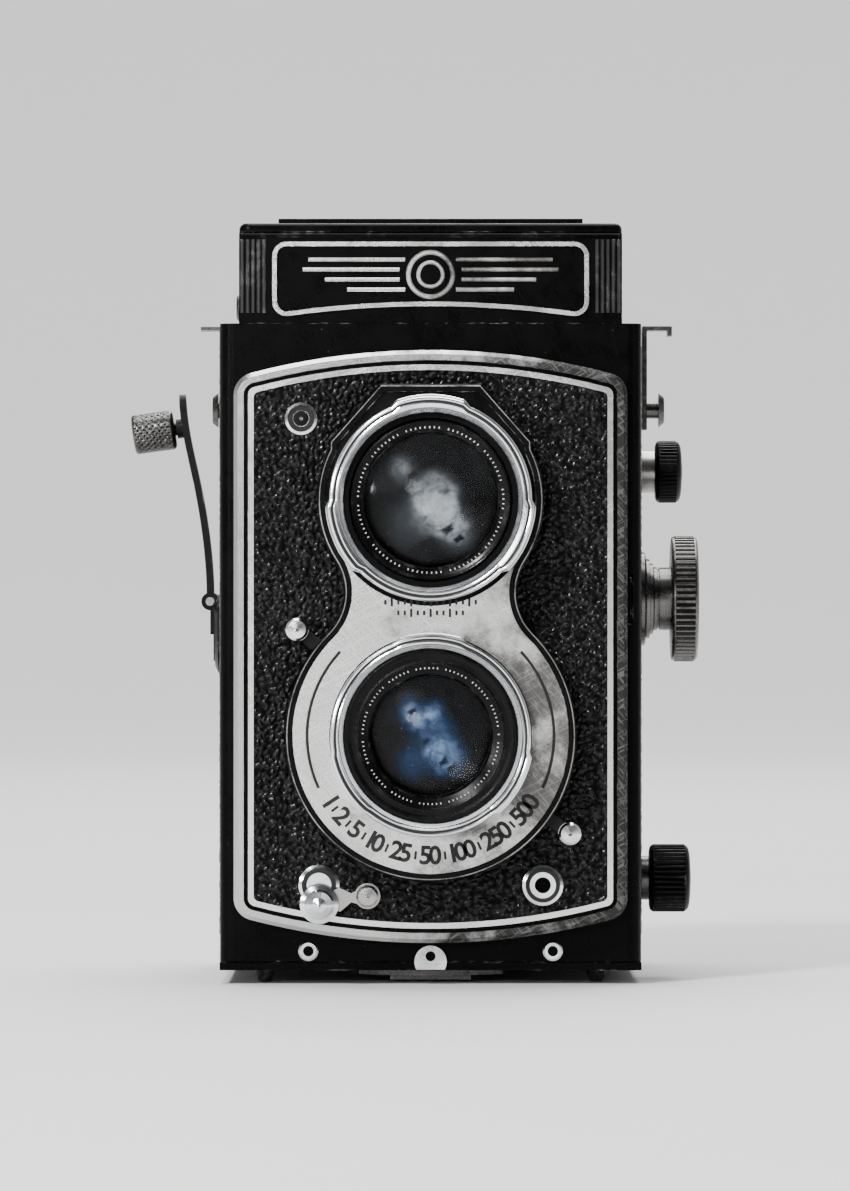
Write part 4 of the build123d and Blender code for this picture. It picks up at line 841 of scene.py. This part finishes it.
view_ring = [(-43.0, 14.45), (-43.62, 14.4), (-43.8, 14.15), (-43.92, 13.9), (-43.86, 13.72)]
view_ring += [(-43.7, 13.66), (-43.62, 13.6), (-43.3, 12.45), (-43.2, 12.4), (-43.34, 12.3)]
view_ring += [(-43.34, 12.12), (-43.0, 12.0), (-42.6, 11.98)]
retainer("viewing_retainer", VIEWING_Z, view_ring)
take_ring = [(-44.0, 15.82), (-44.7, 15.75), (-44.88, 15.5), (-44.94, 15.2), (-44.94, 14.2)]
take_ring += [(-44.86, 14.05), (-44.7, 14.0), (-44.7, 13.5), (-44.9, 13.4), (-44.94, 13.1)]
take_ring += [(-44.86, 12.95), (-44.45, 12.88), (-43.75, 11.1), (-43.9, 10.95), (-43.4, 10.75)]
retainer("taking_retainer", TAKING_Z, take_ring)


def bayonet_detail(name, node, centre_z, front, base, seat, foot, lug_angles, lug_span):
    """A stepped bayonet ring: sloped-ended lugs outside, a dark groove following them on its face."""

    slope, lug_rise, bore = 4.0, 0.75, 16.4

    def outside_lug(angle):
        """0 on a lug and 1 away from it, changing over the slope in degrees."""
        aways = [abs((degrees(angle) - lug + 180) % 360 - 180) for lug in lug_angles]
        return min(1.0, max(0.0, (min(aways) - lug_span / 2 + slope / 2) / slope))

    inner = min(0.45, base - bore - 1.02)
    drops = {i: lug_rise if i < 3 else inner for i in range(12)}
    top = base + lug_rise
    profile = [(-41.3, top), (front + 0.62, top), (front + 0.5, top - 0.12), (front + 0.5, base + 0.4)]
    profile += [(front + 0.3, base + 0.38), (front + 0.08, base + 0.22), (front, base)]
    profile += [(front + 0.08, base - 0.22), (front + 0.3, base - 0.3), (front + 0.3, base - 0.55)]
    profile += [(front + 0.14, base - 0.66), (front + 0.06, base - 0.86)]
    profile += [(front + 0.12, bore + 0.12), (front + 0.2, bore + 0.02)]
    for i in range(1, 6):
        profile += [(front + 0.34 * i, bore + 0.02), (front + 0.34 * i + 0.17, bore - 0.12)]
    profile += [(seat, bore), (seat, 15.95), (seat - 0.12, 15.9), (seat - 0.12, 15.72)]
    profile += [(seat, 15.66), (seat, foot)]

    def ripple(index, height, angle):
        return drops[index] * outside_lug(angle) if index in drops else 0.0

    def groove_ripple(index, height, angle):
        return inner * outside_lug(angle)

    made = lathe((0, 0, centre_z), (0, 1, 0), profile, 360, ripple)
    piece(name, *made, "front_standard", CHROME, "chrome", [node], sharp=24.0)
    groove = [(front + 0.26, base - 0.26), (front + 0.27, base - 0.58)]
    shape = lathe((0, 0, centre_z), (0, 1, 0), groove, 360, groove_ripple)
    piece(name + "_groove", *shape, "front_standard", ENGRAVED, "black_enamel")
    shade = [(seat - 0.04, 15.62), (seat - 0.05, 15.5), (seat - 0.04, foot)]
    shade = lathe((0, 0, centre_z), (0, 1, 0), shade, 144)
    piece(name + "_shade", *shade, "front_standard", INSIDE, "dark_inside")


bayonet_detail(
    "viewing_bayonet_detail", "viewing_bayonet", VIEWING_Z, -46.2, 18.0, -44.2, 14.6, (90, 203, 337), 42
)
bayonet_detail(
    "taking_bayonet_detail", "taking_bayonet", TAKING_Z, -47.0, 17.6, -45.0, 15.5, (90, 210, 330), 40
)


def tick_ring(name, centre_z, radius, y_at, count, skip, tall, wide, turn):
    """White scale marks on a retaining ring, grouped, with gaps between the groups."""
    angles = [turn + 360 * i / count for i in range(count) if i % skip]
    marks = dashes(centre_z, radius, angles, wide, tall, y_at, y_at + 0.05)
    piece(name, *marks, "front_standard", MARK, "satin_nickel", smooth=False)


tick_ring("viewing_marks", VIEWING_Z, 12.95, -43.52, 96, 9, 0.34, 0.17, 12)
tick_ring("taking_marks", TAKING_Z, 12.1, -44.3, 100, 7, 0.3, 0.16, 5)


def element(name, centre_z, radius, rim_y, bulge, look):
    """A domed inner lens face."""
    profile = [(rim_y + 0.02, radius)]
    profile += [(rim_y - bulge * (1 - (1 - i / 16) ** 2), radius * (1 - i / 16)) for i in range(1, 17)]
    piece(name, *lathe((0, 0, centre_z), (0, 1, 0), profile, 96), "front_standard", look, "coated_glass")


# Domes behind the front glass that carry the painted reflections.
element("viewing_painted_reflection", VIEWING_Z, 11.85, -36.4, 1.2, VIEW_PAINTED_REFLECTION)
element("taking_painted_reflection", TAKING_Z, 10.5, -37.2, 1.2, TAKE_PAINTED_REFLECTION)


def washer(name, x, z, inner, outer, front):
    """A flat ring with softened edges, facing forward."""
    soft = min(0.1, (outer - inner) / 4)
    ring = [(front + 0.12, inner), (front + 0.03, inner + soft * 0.3), (front, inner + soft)]
    ring += [(front, outer - soft), (front + 0.03, outer - soft * 0.3), (front + 0.12, outer)]
    piece(name, *lathe((x, 0, z), (0, 1, 0), ring, 64), "front_standard", ENGRAVED, "black_enamel")


SCREW_X, SCREW_Z = -23.2, 99.2
washer("socket_black", 20.1, 15.6, 2.3, 3.06, -35.54)
washer("screw_black", SCREW_X, SCREW_Z, 1.45, 2.42, -34.72)
washer("button_black", -20.0, 15.6, 2.2, 3.02, -35.1)
screw_head = [(-34.6, 1.45), (-34.85, 1.42), (-34.98, 1.25), (-35.0, 1.0)]
screw_head += [(-35.0, 0.32), (-34.8, 0.3), (-34.8, 0)]
screw_head = lathe((SCREW_X, 0, SCREW_Z), (0, 1, 0), screw_head, 48)
piece("panel_screw_head", *screw_head, "front_standard", KNOB_BLACK, "steel")


# ---------------------------------------------------------------- bright metal line along the housing's outer edge
def housing_line():
    """The lens housing's outline, read from its CAD mesh, as (x, z) points in order."""
    edges = outline_edges("lens_housing", 1, HOUSING_Y)
    ends = {}
    for a, b in edges:
        ends.setdefault(tuple(a), []).append(tuple(b))
        ends.setdefault(tuple(b), []).append(tuple(a))
    start = max(ends, key=lambda p: hypot(p[0], p[1] - 60.0))
    loop, before, at = [start], None, start
    while True:
        following = [p for p in ends[at] if p != before]
        before, at = at, following[0]
        if at == start or len(loop) > 4000:
            return loop
        loop.append(at)


bright_edge_line = ribbon(housing_line(), 0.12, -42.03, -41.9, True)
piece("housing_bright_edge_line", *bright_edge_line, "front_standard", EDGE_LINE_METAL, "satin_nickel")

# ---------------------------------------------------------------- face plate: filled grooves, scale and rules
grooves = []
for start, end in ((-25.0, 43.0), (137.0, 205.0)):
    grooves.append(ribbon(arc_line(TAKING_Z, 22.0, start, end, 40), 0.4, -41.62, -41.5))
piece("plate_grooves", *merge(*grooves), "front_standard", ENGRAVED, "black_enamel")

SPEEDS = ("1", "2", "5", "10", "25", "50", "100", "250", "500")
SPEED_FROM, SPEED_TO, SPEED_RADIUS = 212.0, 329.0, 21.45
# Widths in digits: of a digit, the narrow 1 and the space between two numbers
WIDTHS = {"1": 0.62}
SPACE = 1.05
spans = [sum(WIDTHS.get(digit, 1.0) for digit in text) for text in SPEEDS]
per_digit = (SPEED_TO - SPEED_FROM) / (sum(spans) + SPACE * (len(SPEEDS) - 1))
digits, marks_at = [], []
at = SPEED_FROM
for i, text in enumerate(SPEEDS):
    for digit in text:
        wide = WIDTHS.get(digit, 1.0) * per_digit
        turn = radians(at + wide / 2)
        place = (SPEED_RADIUS * cos(turn), TAKING_Z + SPEED_RADIUS * sin(turn))
        digits.append(numeral(digit, 4.6, place, turn + pi / 2, PLATE_Y - 0.03))
        at += wide
    if i < len(SPEEDS) - 1:
        marks_at.append(at + SPACE / 2 * per_digit)
        at += SPACE * per_digit
digits.append(dashes(TAKING_Z, SPEED_RADIUS, marks_at, 0.45, 1.5, PLATE_Y - 0.04, PLATE_Y))
piece("speed_scale", *merge(*digits), "front_standard", ENGRAVED, "black_enamel", smooth=False)

RULE_PITCH, RULE_WIDE = 1.15, 0.42
rules = []
for row_z, count in ((66.3, 15), (64.4, 11)):
    for i in range(count):
        x = (i - (count - 1) / 2) * RULE_PITCH - RULE_WIDE / 2
        tall = 0.42 if (i - count // 2) % 3 else 0.75
        low, high = row_z - tall, row_z + tall
        outline = [(x, low), (x + RULE_WIDE, low), (x + RULE_WIDE, high), (x, high)]
        rules.append(slab(outline, PLATE_Y - 0.04, PLATE_Y))
piece("waist_rules", *merge(*rules), "front_standard", ENGRAVED, "black_enamel", smooth=False)

# ---------------------------------------------------------------- hood front: ribs, ledge and ornament
ribs = []
for side in (-1, 1):
    for i in range(5):
        x = side * (30.0 + 0.98 * i)
        line = [(x, z) for z in (118.4, 119.0, 125.0, 131.2, 131.6)]
        ribs.append(ribbon(line, 0.34, HOOD_Y - 0.5, HOOD_Y))
piece("hood_ribs", *merge(*ribs), "camera_body", RIB_BLACK_LIT, "black_enamel")

LEDGE_Z = 132.35
ledge = ribbon([(x, LEDGE_Z) for x in (-34.0, -20.0, 20.0, 34.0)], 0.36, HOOD_Y - 0.5, HOOD_Y)
piece("hood_ledge", *ledge, "camera_body", BLACK, "black_enamel")

# two rings with four bars each side: lift above the middle, start, end and half width
PLATE_Z = 125.3
BARS = ((2.7, 4.6, 22.0, 0.36), (0.9, 5.6, 23.0, 0.36), (-0.9, 5.6, 19.0, 0.36), (-2.7, 4.6, 15.0, 0.36))
ornament = []
for radius, half in ((4.0, 0.42), (2.2, 0.34)):
    circle = arc_line(PLATE_Z, radius, 0, 360 - 360 / 48, 47)
    ornament.append(ribbon(circle, half, HOOD_Y - 0.45, HOOD_Y, True))
for side in (-1, 1):
    for lift, start, end, half in BARS:
        line = [(side * (start + (end - start) * i / 6), PLATE_Z + lift) for i in range(7)]
        ornament.append(ribbon(line, half, HOOD_Y - 0.45, HOOD_Y))
piece("nameplate_ornament", *merge(*ornament), "camera_body", NICKEL, "chrome")

# ---------------------------------------------------------------- floor, light and camera
FLAT_RADIUS, SWEEP_RADIUS, WALL_TOP = 1700.0, 2100.0, 4200.0
floor_profile = [(0.0, radius) for radius in (0.0, 300.0, 900.0, FLAT_RADIUS)]
for turn in range(6, 91, 6):
    rise, out = SWEEP_RADIUS * (1 - cos(radians(turn))), SWEEP_RADIUS * sin(radians(turn))
    floor_profile.append((rise, FLAT_RADIUS + out))
floor_profile.append((WALL_TOP, FLAT_RADIUS + SWEEP_RADIUS))
floor_points, floor_faces = lathe((0, 0, FLOOR_Z), (0, 0, 1), floor_profile, 96)
floor_mesh = bpy.data.meshes.new("floor")
floor_mesh.from_pydata([tuple(c * MM for c in p) for p in floor_points], [], floor_faces)
floor_mesh.shade_smooth()
floor_mesh.materials.append(plain_floor("pale_floor"))
floor = bpy.data.objects.new("floor", floor_mesh)
bpy.context.scene.collection.objects.link(floor)
floor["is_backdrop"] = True


def area_light(name, place, aim, size, power):
    data = bpy.data.lights.new(name, "AREA")
    data.shape = "ELLIPSE"
    data.size, data.size_y = size
    data.energy = power
    lamp = bpy.data.objects.new(name, data)
    lamp.location = place
    lamp.rotation_mode = "QUATERNION"
    lamp.rotation_quaternion = (Vector(aim) - Vector(place)).to_track_quat("-Z", "Y")
    bpy.context.scene.collection.objects.link(lamp)


MIDDLE = (0, 0, 0.07)
area_light("key", (-0.60, -1.0, 0.95), MIDDLE, (0.2, 0.2), 28.0)
area_light("front_soft", (-0.34, -1.70, 0.36), MIDDLE, (0.28, 0.24), 5.5)
area_light("side_spark", (-0.95, -1.15, 0.30), MIDDLE, (0.14, 0.14), 5.0)
area_light("fill", (1.2, -0.8, 0.5), MIDDLE, (0.7, 0.9), 1.5)
area_light("rim", (0.2, 1.2, 1.2), MIDDLE, (1.0, 0.6), 14.0)
area_light("top", (0.0, 0.6, 2.6), (0, 0.6, 0), (2.2, 2.2), 96.0)

world = bpy.data.worlds.new("studio")
bpy.context.scene.world = world
world.use_nodes = True
world.node_tree.nodes["Background"].inputs["Color"].default_value = (0.92, 0.93, 0.95, 1)
world.node_tree.nodes["Background"].inputs["Strength"].default_value = 0.35

camera_data = bpy.data.cameras.new("camera")
camera_data.lens = 205.0
camera_data.sensor_width = 36.0
camera = bpy.data.objects.new("camera", camera_data)
camera.location = (-0.0010, -1.25, 0.0675)
camera.rotation_euler = (radians(90.0), 0.0, 0.0)
bpy.context.scene.collection.objects.link(camera)
bpy.context.scene.camera = camera

low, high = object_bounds()
